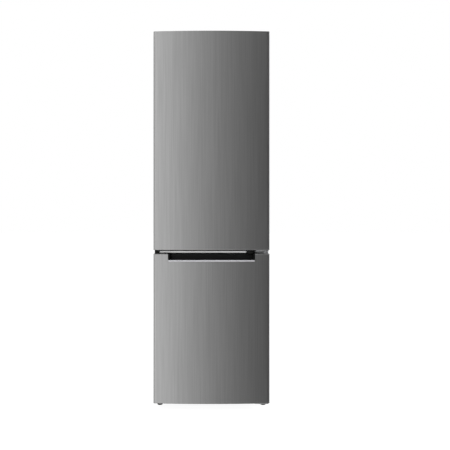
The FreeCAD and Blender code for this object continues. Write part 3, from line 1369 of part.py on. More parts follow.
def compressor():
    """The sealed compressor: a domed pot with a welded seam, on a foot plate."""
    pot = pad("pot", "z", pot_z, pot_top_z, pot_outline(as_size(0)))
    pot = bevel(pot, d.pot_edge, at("z", pot_top_z))
    pot = bevel(pot, d.pot_soft_edge, at("z", pot_top_z - d.pot_edge))
    pot = bevel(pot, d.pot_soft_edge, at("z", pot_top_z))
    pot = bevel(pot, d.pot_low_edge, at("z", pot_z))
    seam = pad("seam", "z", *seam_levels(as_size(0)), pot_outline(d.seam_proud))
    over = d.pot_length / 2 + d.foot_plate_overhang
    x = (d.compressor_offset - over, d.compressor_offset + over)
    y = (pot_y - d.pot_depth / 2, pot_y + d.pot_depth / 2)
    plate = pad("foot_plate", "z", plate_z, pot_z, rectangle(x, y, d.foot_plate_corner))
    return piece(fuse("sealed_pot", pot, seam, plate), "compressor")


def relay_cover():
    low = pot_z + d.relay_rise
    y = (pot_y - d.relay_depth / 2, pot_y + d.relay_depth / 2)
    box = pad("relay_box", "x", pot_left - d.relay_width, pot_left,
              rectangle(y, (low, low + d.relay_height), d.relay_edge))
    seam = pad("relay_seam", "z", *seam_levels(d.fit), pot_outline(d.seam_proud + d.fit))
    return piece(cut("relay", box, seam), "relay_cover")


def cord_gland():
    """The mains cord's inlet on the back of the relay cover."""
    x = pot_left - d.relay_width / 2
    y = pot_y + d.relay_depth / 2
    z = pot_z + d.relay_rise + d.relay_height / 2
    neck = pad("gland_neck", "y", y, y + d.gland_length, octagon(x, z, d.gland_radius))
    bore = rod("gland_bored", "y", d.gland_bore, (x, y + d.gland_floor, z), d.gland_length)
    return piece(cut("gland", neck, bore), "cord_gland")


def evaporation_tray():
    low = pot_top_z + d.fit
    x = (d.compressor_offset - d.tray_width / 2, d.compressor_offset + d.tray_width / 2)
    y = (pot_y - d.tray_depth / 2, pot_y + d.tray_depth / 2)
    outer = pad("tray_outside", "z", low, low + d.tray_height, rectangle(x, y, d.tray_corner))
    w = d.tray_wall
    inner = pad("tray_inside", "z", low + w, low + d.tray_height + d.overrun,
                rectangle((x[0] + w, x[1] - w), (y[0] + w, y[1] - w), d.tray_corner - w))
    return piece(cut("tray", outer, inner), "evaporation_tray")


# Condenser and pipes
condenser_y = place("condenser_y", back_y + d.condenser_standoff)
condenser_x = place("condenser_x", half - d.condenser_inset)
condenser_low_z = place("condenser_low_z", bay_top_z + d.condenser_rise)
condenser_high_z = place("condenser_high_z", condenser_low_z + d.condenser_pitch * (d.condenser_runs - 1))
riser_end_z = place("riser_end_z", pot_z + d.discharge_rise)
drier_z = place("drier_z", pot_z + d.drier_rise)
drier_y = place("drier_y", pot_y)
drier_x = place("drier_x", -half + d.drier_from_side)
wire_x = place("wire_x", condenser_x - d.condenser_wire_inset)


def condenser():
    """A tube that winds down the back, between two layers of upright wires."""
    bend = d.condenser_pitch * d.tube_bend_share
    inner = condenser_x - d.riser_gap
    corners = [(condenser_x, riser_end_z), (condenser_x, condenser_high_z, bend)]
    count = int(d.condenser_runs.value)
    for run in range(count):
        level = condenser_high_z - d.condenser_pitch * run
        ends = [(-condenser_x, level, bend), (inner, level, bend)]
        if run % 2 == 0:
            ends.reverse()
        corners += ends if run else ends[1:]
    corners.append((-condenser_x, drier_z))
    tube = swept("condenser_tube", "y", condenser_y, corners, d.condenser_tube)
    z = (condenser_low_z - d.clip_height / 2, condenser_high_z + d.clip_height / 2)
    near = condenser_y - d.condenser_tube - d.weld_gap
    far = condenser_y + d.condenser_tube + d.weld_gap
    wires = bars("inner_wire", d.condenser_wires, mirrored_pair(wire_x), d.condenser_wire,
                 (near - d.condenser_wire, near), z)
    wires += bars("outer_wire", d.condenser_wires, mirrored_pair(wire_x), d.condenser_wire,
                  (far, far + d.condenser_wire), z)
    return piece(group("condenser_welded", tube, *wires), "condenser")


def condenser_clips():
    """Clips between the wires, which hold the tube off the back panel."""
    pitch = wire_x * 2 / (d.condenser_wires - 1)
    clips = []
    for column in clip_columns:
        x = -wire_x + pitch * column + pitch / 2
        for run in clip_runs:
            z = condenser_low_z + d.condenser_pitch * run
            body = block(f"clip_{column}_{run}", (x - d.clip_width / 2, x + d.clip_width / 2),
                         (back_y, condenser_y + d.condenser_tube * 2),
                         (z - d.clip_height / 2, z + d.clip_height / 2))
            wide = d.condenser_tube + d.weld_gap
            hole = block(f"clip_hole_{column}_{run}", (x - d.clip_width, x + d.clip_width),
                         (condenser_y - wide, condenser_y + wide), (z - wide, z + wide))
            clips.append(cut(f"clip_bored_{column}_{run}", body, hole))
    return clips


def wall_spacers():
    """Two bumpers that keep the condenser clear of the wall."""
    middle = cabinet_top_z - d.spacer_from_top
    z = (middle - d.spacer_height / 2, middle + d.spacer_height / 2)
    spacers = []
    for side, centre in (("left", -half + d.spacer_inset), ("right", half - d.spacer_inset)):
        x = (centre - d.spacer_width / 2, centre + d.spacer_width / 2)
        spacer = pad(f"spacer_{side}", "y", back_y, rear_y, rectangle(x, z))
        spacers.append(bevel(spacer, d.relay_edge / 2, at("y", rear_y)))
    return spacers


def refrigerant_pipes():
    """The discharge, suction and liquid pipes, with the filter drier."""
    r, bend = d.pipe_radius, d.pipe_bend
    side = condenser_y - d.condenser_tube
    discharge = swept("discharge_pipe", "z", riser_end_z + r,
                      [(pot_right, pot_y), (condenser_x, pot_y, bend), (condenser_x, side)], r)
    suction_z = riser_end_z + d.suction_rise
    suction = swept("suction_pipe", "y", pot_y,
                    [(pot_right, suction_z), (pot_right + d.suction_reach, suction_z, bend),
                     (pot_right + d.suction_reach, bay_top_z)], r)
    liquid = swept("liquid_pipe", "z", drier_z + r,
                   [(-condenser_x, side), (-condenser_x, drier_y, bend), (drier_x, drier_y)], r)
    end = drier_x + d.drier_length
    shell = pad("drier_shell", "x", drier_x, end, octagon(drier_y, drier_z + r, d.drier_radius))
    turn = end + d.drier_neck
    out = swept("capillary", "y", drier_y,
                [(end, drier_z + r), (turn, drier_z + r, bend / 2), (turn, bay_top_z)], r / 2)
    liquid_line = fuse("liquid_line", liquid, shell, out)
    return piece(group("pipes", discharge, suction, liquid_line), "refrigerant_pipes")


# Rear rollers
roller_x = place("roller_x", half - d.roller_inset)
roller_y = place("roller_y", back_y - d.roller_from_back)


def rear_rollers():
    """Two rollers fast on one long axle."""
    reach = roller_x + d.roller_width / 2 + d.ear_gap + d.ear_wall + d.axle_end
    solids = [rod("axle", "x", d.axle_radius, (-reach, roller_y, d.roller_radius), reach * 2)]
    for side, centre in (("left", -roller_x), ("right", roller_x)):
        start = (centre - d.roller_width / 2, roller_y, d.roller_radius)
        solids.append(rod(f"roller_{side}", "x", d.roller_radius, start, d.roller_width))
    return piece(fuse("rollers", *solids), "rear_rollers")


def roller_brackets():
    """A pair of ears under the rail for each roller."""
    brackets = []
    top, web = d.base_height, d.base_height - d.ear_wall
    for side, centre in (("left", -roller_x), ("right", roller_x)):
        inner = d.roller_width / 2 + d.ear_gap
        y = (roller_y - d.ear_radius, roller_y + d.ear_radius)
        ears = [block(f"ear_{side}_{i}", (centre + start, centre + start + d.ear_wall), y,
                      (d.roller_radius - d.ear_radius, top))
                for i, start in enumerate((-inner - d.ear_wall, inner))]
        bridge = block(f"bridge_{side}", (centre - inner, centre + inner), y, (web, top))
        hole = rod(f"axle_hole_{side}", "x", d.axle_radius + d.running_fit,
                   (centre - inner - d.ear_wall - d.overrun, roller_y, d.roller_radius),
                   (inner + d.ear_wall + d.overrun) * 2)
        brackets.append(cut(f"bracket_{side}", fuse(f"bracket_whole_{side}", *ears, bridge), hole))
    return piece(group("brackets", *brackets), "roller_brackets")


side_panel("side_panel_left", -1)
side_panel("side_panel_right", 1)
top_panel()
back_panel()
base_panel()
mullion_rail()
fridge_liner()
freezer_liner()
cabinet_foam()
drain_tube()
glass_pane("crisper_cover", 0)
for number, step in enumerate(shelf_steps, 1):
    glass_pane(f"glass_shelf_{number}", step)
shelf_trims()
crisper_drawer()
control_housing()
lamp_lens()
thermostat_knob()
evaporator("lower_evaporator", lower_evaporator_z)
evaporator("upper_evaporator", upper_evaporator_z)
freezer_drawers()
fridge_door_skin()
fridge_door_caps()
fridge_door_liner()
fridge_door_foam()
gasket("fridge_door_gasket", fridge_plate_z)
door_bins()
dairy_lid()
freezer_door_skin()
freezer_door_caps()
freezer_door_liner()
freezer_door_foam()
gasket("freezer_door_gasket", freezer_plate_z)
handle_insert()
handle_lip()
top_hinge()
middle_hinge()
bottom_hinge()
foot_bracket()
levelling_foot("left_foot", -foot_x)
levelling_foot("right_foot", foot_x)
divider_trim()
trim_end_caps()
compressor_rail()
compressor_grommets()
compressor()
relay_cover()
cord_gland()
evaporation_tray()
condenser()
piece(group("brackets_behind", *condenser_clips(), *wall_spacers()), "condenser_brackets")
refrigerant_pipes()
rear_rollers()
roller_brackets()
doc.recompute()

# Nothing is written unless every feature and every piece is sound
for item in doc.Objects:
    if "Invalid" in item.State or "Error" in item.State:
        raise RuntimeError(f"{item.Name} failed: {item.State}")
for item in finished:
    shape = item.Shape
    if shape.isNull() or not shape.isValid() or not shape.Solids:
        raise RuntimeError(f"{item.Label} has no sound solid")

os.makedirs("parts", exist_ok=True)
for item in finished:
    item.Shape.exportStep(f"parts/{item.Label}.step")
print(f"{len(finished)} pieces written")
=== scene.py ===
import json
import math

import bmesh
import bpy
import numpy as np
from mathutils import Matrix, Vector

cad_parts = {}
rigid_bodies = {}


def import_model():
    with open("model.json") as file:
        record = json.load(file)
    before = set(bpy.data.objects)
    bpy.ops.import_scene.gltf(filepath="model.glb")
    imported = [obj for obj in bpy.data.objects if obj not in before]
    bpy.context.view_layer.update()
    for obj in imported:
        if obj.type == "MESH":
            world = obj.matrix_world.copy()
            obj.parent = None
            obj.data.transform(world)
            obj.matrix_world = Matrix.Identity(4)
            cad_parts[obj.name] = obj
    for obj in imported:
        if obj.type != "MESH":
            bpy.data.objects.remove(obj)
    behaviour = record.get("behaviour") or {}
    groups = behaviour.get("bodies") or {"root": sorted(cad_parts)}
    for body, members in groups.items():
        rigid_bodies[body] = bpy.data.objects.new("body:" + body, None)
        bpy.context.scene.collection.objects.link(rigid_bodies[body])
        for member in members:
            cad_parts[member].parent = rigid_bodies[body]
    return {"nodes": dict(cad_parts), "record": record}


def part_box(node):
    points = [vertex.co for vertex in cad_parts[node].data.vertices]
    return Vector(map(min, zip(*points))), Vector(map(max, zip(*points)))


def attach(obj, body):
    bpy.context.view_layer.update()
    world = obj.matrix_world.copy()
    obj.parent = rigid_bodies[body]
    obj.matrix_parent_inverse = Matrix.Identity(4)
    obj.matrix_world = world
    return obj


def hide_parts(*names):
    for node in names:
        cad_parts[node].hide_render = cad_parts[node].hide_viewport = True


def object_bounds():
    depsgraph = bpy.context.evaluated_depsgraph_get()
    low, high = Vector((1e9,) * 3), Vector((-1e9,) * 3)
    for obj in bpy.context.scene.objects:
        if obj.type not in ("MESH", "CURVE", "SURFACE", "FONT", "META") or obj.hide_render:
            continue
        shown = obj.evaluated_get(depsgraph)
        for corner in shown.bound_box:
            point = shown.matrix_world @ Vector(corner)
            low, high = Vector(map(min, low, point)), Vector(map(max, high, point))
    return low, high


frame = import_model()
cadLow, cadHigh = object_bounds()
nodes = frame["nodes"]
slotOf = {part["node"]: part["material_slot"] for part in frame["record"]["subparts"]}
bodyOf = {node: body for body, names in frame["record"]["behaviour"]["bodies"].items() for node in names}
mm = 0.001
samePoint = 0.002 * mm  # points nearer than this become one
small = 0.02 * mm  # the least radius of a corner
cupSteps, endSteps, bendSteps = 5, 4, 7  # points in a cup's foot and rim, a bar's rounded end and a pipe's bend
madeEnding, dressedEnding = "_made", "_dressed"  # of a new mesh, and of a dressed copy of the CAD's
print("frame loaded with", len(nodes), "nodes")


def linear(hexCode):  # sRGB hex to linear colour, by the sRGB curve
    values = [int(hexCode[i:i + 2], 16) / 255 for i in (1, 3, 5)]
    return tuple(v / 12.92 if v <= 0.04045 else ((v + 0.055) / 1.055) ** 2.4 for v in values) + (1.0,)


def addNode(tree, kind, inputs=None, **settings):  # a node with its settings; an input is a value or a link
    node = tree.nodes.new(kind)
    for name, value in settings.items():
        setattr(node, name, value)
    for key, value in (inputs or {}).items():
        if isinstance(value, bpy.types.NodeSocket):
            tree.links.new(value, node.inputs[key])
        else:
            node.inputs[key].default_value = value
    return node


def grainOn(tree, size, kind="noise"):  # a pattern whose cells are size millimetres along x, y and z
    where = addNode(tree, "ShaderNodeTexCoord").outputs["Object"]
    cells = [1 / (s * mm) for s in size]
    scaled = addNode(tree, "ShaderNodeMapping", {"Vector": where, "Scale": cells}).outputs["Vector"]
    if kind == "cells":
        return addNode(tree, "ShaderNodeTexVoronoi", {"Vector": scaled, "Scale": 1.0}).outputs["Color"]
    return addNode(tree, "ShaderNodeTexNoise", {"Vector": scaled, "Scale": 1.0, "Detail": 3.0}).outputs["Fac"]


# tone: the two colours between which the surface drifts, and the size of the drift in mm
# rough: lowest and highest roughness, and the size of its patches in mm
# bump: depth in mm, and the size of the relief in mm
finishes = {
    # vertically brushed, so highlights stretch sideways; the real grain is 0.3 mm wide, its tone drawn 5 mm and
    # its relief 1.2 mm so that they show
    "door_steel": {"name": "brushed_stainless_steel", "tone": ("#a8a8a8", "#b3b3b3"), "drift": (5, 5, 320),
                   "metallic": 1.0, "rough": (0.30, 0.35), "patch": (2.4, 2.4, 260), "bump": 0.006,
                   "relief": (1.2, 1.2, 180)},
    # a plain grey with the faint orange peel of stoved paint, which softens its highlights
    "side_sheet": {"name": "coil_coated_steel_sheet", "tone": ("#929496", "#959798"), "drift": (240, 240, 300),
                   "metallic": 0.0, "rough": (0.38, 0.42), "patch": (30, 30, 30), "bump": 0.03,
                   "relief": (2.2, 2.2, 2.2)},
    # hot-dipped, so it shows spangles 8 to 15 mm across, each a little lighter or darker
    "zinc_sheet": {"name": "galvanised_steel_sheet", "tone": ("#abafb1", "#b5b9bb"), "drift": (11, 11, 11),
                   "kind": "cells", "metallic": 1.0, "rough": (0.42, 0.50), "patch": (12, 12, 12), "bump": 0.006,
                   "relief": (6, 6, 6)},
    # pressed and plated, a pale metal, dulled and slightly clouded by its plating
    "hinge_steel": {"name": "zinc_plated_steel", "tone": ("#dddedf", "#e6e7e8"), "drift": (5, 5, 5), "metallic": 1.0,
                    "rough": (0.60, 0.70), "patch": (4, 4, 4), "bump": 0.01, "relief": (1.5, 1.5, 1.5)},
    # bead-blasted and anodised, so it is pale all along, with faint lines from the drawing
    "bright_lip": {"name": "bead_blasted_aluminium", "tone": ("#f1f1f5", "#f7f7fa"), "drift": (60, 2, 2),
                   "metallic": 1.0, "rough": (0.62, 0.70), "patch": (80, 2, 2), "bump": 0.006, "relief": (50, 1, 1)},
    # vacuum-formed, a soft white gloss that is duller where the sheet was drawn deep
    "liner_white": {"name": "high_impact_polystyrene_sheet", "tone": ("#eceeee", "#f3f4f4"), "drift": (160, 160, 200),
                    "metallic": 0.0, "rough": (0.18, 0.28), "patch": (50, 50, 50), "bump": 0.03, "relief": (9, 9, 9)},
    # foamed in place, matt and yellow, with cells about 1 mm across, drawn 3 mm so that they show
    "foam": {"name": "rigid_polyurethane_foam", "tone": ("#d9c48d", "#e6d6a6"), "drift": (3, 3, 3), "kind": "cells",
             "metallic": 0.0, "rough": (0.85, 0.95), "patch": (5, 5, 5), "bump": 0.4, "relief": (3, 3, 3)},
    # moulded and sprayed with a silver flake paint, so it takes the light almost as the steel beside it does
    "cap_grey": {"name": "silver_painted_abs", "tone": ("#a3a3a3", "#a9a9a9"), "drift": (90, 90, 90), "metallic": 0.9,
                 "rough": (0.38, 0.46), "patch": (8, 8, 8), "bump": 0.03, "relief": (1.4, 1.4, 1.4)},
    # moulded smooth, a very light satin grey
    "trim_grey": {"name": "moulded_light_abs", "tone": ("#f4f4f4", "#f9f9f9"), "drift": (90, 90, 90),
                  "metallic": 0.0, "rough": (0.28, 0.38), "patch": (9, 9, 9), "bump": 0.02,
                  "relief": (1.6, 1.6, 1.6)},
    # toughened soda-lime glass, clear with green edges from its iron
    "shelf_glass": {"name": "toughened_float_glass", "tone": ("#ecf7f1", "#f2faf6"), "drift": (120, 120, 120),
                    "metallic": 0.0, "clear": 0.92, "ior": 1.52, "rough": (0.0, 0.05),
                    "patch": (40, 40, 40), "bump": 0.005, "relief": (30, 30, 30)},
    # injection-moulded, clear with faint flow marks a few centimetres long
    "clear_plastic": {"name": "moulded_clear_polystyrene", "tone": ("#f0f5f7", "#f6f9fb"), "drift": (60, 60, 60),
                      "metallic": 0.0, "clear": 0.80, "ior": 1.57, "rough": (0.06, 0.16), "patch": (24, 24, 24),
                      "bump": 0.03, "relief": (14, 14, 14)},
    # extruded soft PVC, dull and slightly dusty
    "gasket": {"name": "extruded_grey_pvc", "tone": ("#97999b", "#a1a3a5"), "drift": (70, 70, 70), "metallic": 0.0,
               "rough": (0.55, 0.68), "patch": (6, 6, 6), "bump": 0.02, "relief": (2, 2, 2)},
    # spark-textured, its grain 0.2 mm, drawn 0.9 mm; its black is darker and its gloss lower than the plastic's own,
    # as painted shade for the deep grip recess, and every black part gets it
    "black_plastic": {"name": "textured_black_abs", "tone": ("#090909", "#0e0e0e"), "drift": (40, 40, 40),
                      "metallic": 0.0, "gloss": 0.2, "rough": (0.48, 0.60), "patch": (2, 2, 2), "bump": 0.05,
                      "relief": (0.9, 0.9, 0.9)},
    # moulded smooth, a satin light grey
    "knob_grey": {"name": "satin_grey_abs", "tone": ("#b7babc", "#c1c4c6"), "drift": (20, 20, 20), "metallic": 0.0,
                  "rough": (0.32, 0.42), "patch": (3, 3, 3), "bump": 0.015, "relief": (1.2, 1.2, 1.2)},
    # sprayed thick, a soft black gloss with runs and orange peel
    "compressor_black": {"name": "sprayed_black_enamel", "tone": ("#141415", "#202022"), "drift": (18, 18, 18),
                         "metallic": 0.0, "rough": (0.26, 0.42), "patch": (7, 7, 7), "bump": 0.08,
                         "relief": (4, 4, 4)},
    # moulded rubber, nearly black and dusty where it is handled
    "rubber_foot": {"name": "moulded_black_rubber", "tone": ("#202021", "#2b2b2c"), "drift": (6, 6, 6),
                    "metallic": 0.0, "rough": (0.7, 0.85), "patch": (3, 3, 3), "bump": 0.04,
                    "relief": (1.4, 1.4, 1.4)},
    # dipped tube and wire, a thick white coat that rounds every joint
    "evaporator_white": {"name": "white_enamelled_tube", "tone": ("#dfe1e2", "#e8eaeb"), "drift": (14, 14, 14),
                         "metallic": 0.0, "rough": (0.3, 0.42), "patch": (6, 6, 6), "bump": 0.04,
                         "relief": (3, 3, 3)},
    # drawn bright and browned in places by the brazing torch
    "copper": {"name": "drawn_copper_tube", "tone": ("#8f5434", "#c98a63"), "drift": (22, 22, 22), "metallic": 1.0,
               "rough": (0.26, 0.46), "patch": (10, 10, 10), "bump": 0.01, "relief": (3, 3, 3)},
}
toneStops, patchRange = (0.3, 0.7), (0.3, 0.7)  # where the noise's usual values begin and end


def makeFinish(look):
    material = bpy.data.materials.new(look["name"])
    material.use_nodes = True
    tree = material.node_tree
    tree.nodes.clear()
    ramp = addNode(tree, "ShaderNodeValToRGB", {"Fac": grainOn(tree, look["drift"], look.get("kind", "noise"))})
    for stop, place, hexCode in zip(ramp.color_ramp.elements, toneStops, look["tone"]):
        stop.position = place
        stop.color = linear(hexCode)
    rough = addNode(tree, "ShaderNodeMapRange", {
        "Value": grainOn(tree, look["patch"]), "From Min": patchRange[0], "From Max": patchRange[1],
        "To Min": look["rough"][0], "To Max": look["rough"][1]})
    relief = addNode(tree, "ShaderNodeBump", {
        "Height": grainOn(tree, look["relief"]), "Distance": look["bump"] * mm, "Strength": 1.0})
    shader = addNode(tree, "ShaderNodeBsdfPrincipled", {
        "Base Color": ramp.outputs["Color"], "Roughness": rough.outputs["Result"],
        "Normal": relief.outputs["Normal"], "Metallic": look["metallic"]})
    if "clear" in look:
        shader.inputs["Transmission Weight"].default_value = look["clear"]
        shader.inputs["IOR"].default_value = look["ior"]
    if "gloss" in look:
        shader.inputs["Specular IOR Level"].default_value = look["gloss"]
    addNode(tree, "ShaderNodeOutputMaterial", {"Surface": shader.outputs["BSDF"]})
    return material


materials = {slot: makeFinish(look) for slot, look in finishes.items()}
print("finishes made:", len(materials))


def finishPiece(piece, slot, body, replaced):
    piece.data.materials.clear()
    piece.data.materials.append(materials[slot])
    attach(piece, body)
    if replaced:
        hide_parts(*replaced)


def newPiece(name, shapes, slot, body, replaced, crease):
    # each shape is (points, blocks of faces); a face is kept flat against one that it meets past the crease angle
    offset, points, faces = 0, [], []
    for shapePoints, blocks in shapes:
        points.append(shapePoints)
        for block in blocks:
            faces += (block + offset).tolist()
        offset += len(shapePoints)
    mesh = bpy.data.meshes.new(name)
    mesh.from_pydata(np.vstack(points).tolist(), [], faces)
    shell = bmesh.new()
    shell.from_mesh(mesh)
    bmesh.ops.remove_doubles(shell, verts=shell.verts, dist=samePoint)
    bmesh.ops.recalc_face_normals(shell, faces=shell.faces)
    shell.to_mesh(mesh)
    shell.free()
    mesh.polygons.foreach_set("use_smooth", np.ones(len(mesh.polygons), bool))
    mesh.set_sharp_from_angle(angle=math.radians(crease))
    piece = bpy.data.objects.new(name, mesh)
    bpy.context.scene.collection.objects.link(piece)
    finishPiece(piece, slot, body, replaced)
    return piece


def replaceNode(node, shapes, crease=38):
    return newPiece(node + madeEnding, shapes, slotOf[node], bodyOf[node], [node], crease)


def boxOf(node):
    low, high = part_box(node)
    return np.array(low), np.array(high)


def loft(rings, loop=False):  # S(i, k) = rings[i, k], joined to the next ring and to the next point
    rings = np.asarray(rings, float)
    count, size = rings.shape[:2]
    i, k = np.arange(count if loop else count - 1)[:, None], np.arange(size)[None, :]
    j, m = (i + 1) % count, (k + 1) % size
    blocks = [np.stack([i * size + k, i * size + m, j * size + m, j * size + k], axis=-1).reshape(-1, 4)]
    if not loop:
        blocks += [np.arange(size)[None, ::-1], (count - 1) * size + np.arange(size)[None, :]]
    return rings.reshape(-1, 3), blocks


def roundLoop(low, high, radius, steps=6):  # each corner's centre + radius * (cos a, sin a), over a quarter turn
    low, high = np.asarray(low, float), np.asarray(high, float)
    radius = max(min(radius, *((high - low) * 0.499)), small)  # never quite half of a side
    angle = np.linspace(0, math.pi / 2, steps)[None, :] + np.arange(4)[:, None] * math.pi / 2
    x = np.array([high[0] - radius, low[0] + radius, low[0] + radius, high[0] - radius])[:, None]
    y = np.array([high[1] - radius, high[1] - radius, low[1] + radius, low[1] + radius])[:, None]
    return np.stack([x + radius * np.cos(angle), y + radius * np.sin(angle)], axis=-1).reshape(-1, 2)


def onPlane(loop, axis, level):  # the flat loop's two numbers, with the level put in at the axis
    return np.insert(loop, axis, level, axis=1)


def cup(low, high, corner, wall, foot):
    # rounded loops go up the outside, over a half-round rim and down the inside; the foot is a quarter circle
    quarter, half = np.linspace(0, math.pi / 2, cupSteps), np.linspace(0, math.pi, cupSteps)
    inner = max(foot - wall, wall)
    inset = np.concatenate([foot * (1 - np.sin(quarter)), wall / 2 * (1 - np.cos(half)),
                            wall + inner * (1 - np.cos(quarter))])
    level = np.concatenate([low[2] + foot * (1 - np.cos(quarter)), high[2] - wall / 2 * (1 - np.sin(half)),
                            low[2] + wall + inner * (1 - np.sin(quarter))])
    return loft([onPlane(roundLoop(low[:2] + e, high[:2] - e, corner - e), 2, z) for e, z in zip(inset, level)])


def barAlong(section, axis, start, end, edge):
    # one flat loop carried along an axis, drawn in at both ends by a quarter circle of the edge's radius
    turn = np.linspace(0, math.pi / 2, endSteps)
    level = np.concatenate([start + edge * (1 - np.cos(turn)), end - edge * (1 - np.cos(turn[::-1]))])
    shrink = np.concatenate([edge * (1 - np.sin(turn)), edge * (1 - np.sin(turn[::-1]))])
    middle = (section.max(0) + section.min(0)) / 2
    reach = (section.max(0) - section.min(0)) / 2
    rings = [onPlane(middle + (section - middle) * (1 - e / reach), axis, at) for e, at in zip(shrink, level)]
    return loft(rings)


def turned(profile, centre, axis, sides, flutes=0, depth=0.0):
    # P(h, a) = (r(h) - depth * max(cos(flutes * a), 0)) * (cos a, sin a), at height h along the axis
    profile = np.asarray(profile, float)
    angle = np.arange(sides) * 2 * math.pi / sides
    radius = profile[:, 0][:, None] - depth * np.maximum(np.cos(flutes * angle), 0)[None, :] * (flutes > 0)
    radius = np.maximum(radius, small / 2)
    flat = np.stack([radius * np.cos(angle), radius * np.sin(angle)], axis=-1)
    rings = [onPlane(ring, axis, height) + centre for ring, height in zip(flat, profile[:, 1])]
    return loft(rings)


def bentPath(corners, bend):
    # straight runs joined by quarter circles: centre - bend * (cos t * onward + sin t * back)
    corners = np.asarray(corners, float)
    path = [corners[:1]]
    turn = np.linspace(0, math.pi / 2, bendSteps)[:, None]
    for before, here, after in zip(corners[:-2], corners[1:-1], corners[2:]):
        back, onward = (before - here) / np.linalg.norm(before - here), (after - here) / np.linalg.norm(after - here)
        centre = here + bend * (back + onward)
        path.append(centre - bend * (np.cos(turn) * onward + np.sin(turn) * back))
    path.append(corners[-1:])
    return np.vstack(path)


def tube(path, radius, up, sides=12):
    # a ring round each point: p + radius * (cos a * side + sin a * up), with side square to the path and to up
    ahead = np.gradient(path, axis=0)
    side = np.cross(ahead, up)
    side /= np.linalg.norm(side, axis=1)[:, None]
    angle = np.arange(sides) * 2 * math.pi / sides
    rings = path[:, None, :] + radius * (np.cos(angle)[None, :, None] * side[:, None, :]
                                         + np.sin(angle)[None, :, None] * np.asarray(up, float)[None, None, :])
    return loft(rings)


def sheetShell(outer, inner, levels, keep):
    # both faces are grids P(i, j) = (outline j, level i); where a kept cell has no neighbour a rim joins them
    rows, columns = len(levels), len(outer)
    sheets = [np.concatenate([np.broadcast_to(line, (rows, columns, 2)),
                              np.broadcast_to(levels[:, None, None], (rows, columns, 1))], axis=-1)
              for line in (outer, inner)]
    points = np.concatenate([sheet.reshape(-1, 3) for sheet in sheets])
    index, shift = np.arange(rows * columns).reshape(rows, columns), rows * columns
    a, b, c, e = index[:-1, :-1], index[:-1, 1:], index[1:, 1:], index[1:, :-1]
    cells = np.stack([a, b, c, e], axis=-1)[keep]
    faces = [cells, cells + shift]
    framed = np.pad(keep, 1)
    for down, along, start, end in ((-1, 0, a, b), (1, 0, e, c), (0, -1, a, e), (0, 1, b, c)):
        free = keep & ~framed[1 + down:rows + down, 1 + along:columns + along]
        faces.append(np.stack([start[free], end[free], end[free] + shift, start[free] + shift], axis=-1))
    used, places = np.unique(np.concatenate(faces), return_inverse=True)
    return points[used], [places.reshape(-1, 4)]


# door skins: one folded sheet, crowned in front, with a rounded edge at each side and a narrow return behind
# the upper one stands up past its cap, but only near the front; the lower one has a notch for the grip
skin = {"sheet": 1 * mm, "crown": 10 * mm, "corner": 8 * mm, "hem": 2 * mm, "return": 10 * mm, "frontSteps": 49,
        "cornerSteps": 9, "hemSteps": 6, "notchHalf": 205.5 * mm, "notchDrop": 34 * mm, "upstand": 16 * mm,
        "upstandDepth": 14.8 * mm}


def skinOutline(low, high, splits=()):
    # the sheet's outer and inner line from above: an arc of the crown's radius, then both corners, hems and returns
    half, apex, back = high[0], low[1], high[1]
    radius = (half ** 2 + skin["crown"] ** 2) / (2 * skin["crown"])
    middle = apex + radius
    cornerX = half - skin["corner"]
    cornerY = middle - math.sqrt((radius - skin["corner"]) ** 2 - cornerX ** 2)
    lean = math.asin(cornerX / (radius - skin["corner"]))  # where the crown runs into the corner
    x = np.unique(np.concatenate([np.linspace(-radius * math.sin(lean), radius * math.sin(lean), skin["frontSteps"]),
                                  np.asarray(splits, float)]))
    front = np.arcsin(x / radius)
    bend = np.linspace(lean, math.pi / 2, skin["cornerSteps"])[1:]
    fold = np.linspace(math.pi / 2, math.pi, skin["hemSteps"])

    def side(inset):  # right half, from the end of the crown round to the end of the return
        r, h = skin["corner"] - inset, skin["hem"] - inset
        corner = np.stack([cornerX + r * np.sin(bend), cornerY - r * np.cos(bend)], axis=-1)
        hem = np.stack([half - skin["hem"] + h * np.sin(fold), back - skin["hem"] - h * np.cos(fold)], axis=-1)
        return np.vstack([corner, hem, [[half - skin["return"], back - inset]]])

    def whole(inset):
        crown = np.stack([(radius - inset) * np.sin(front), middle - (radius - inset) * np.cos(front)], axis=-1)
        right = side(inset)
        return np.vstack([right[::-1] * [-1, 1], crown, right])
    return whole(0.0), whole(skin["sheet"])


low, high = boxOf("fridge_door_skin")
outer, inner = skinOutline(low, high)
keep = np.ones((2, len(outer) - 1), bool)
keep[1] = (outer[:-1, 1] + outer[1:, 1]) / 2 < low[1] + skin["upstandDepth"]
levels = np.array([low[2], high[2] - skin["upstand"], high[2]])
replaceNode("fridge_door_skin", [sheetShell(outer, inner, levels, keep)])
low, high = boxOf("freezer_door_skin")
outer, inner = skinOutline(low, high, [-skin["notchHalf"], skin["notchHalf"]])
keep = np.ones((2, len(outer) - 1), bool)
middleX = (outer[:-1, 0] + outer[1:, 0]) / 2
keep[1] = ~((abs(middleX) < skin["notchHalf"]) & (outer[:-1, 1] < low[1] + skin["crown"]))
levels = np.array([low[2], high[2] - skin["notchDrop"], high[2]])
replaceNode("freezer_door_skin", [sheetShell(outer, inner, levels, keep)])
print("door skins folded")

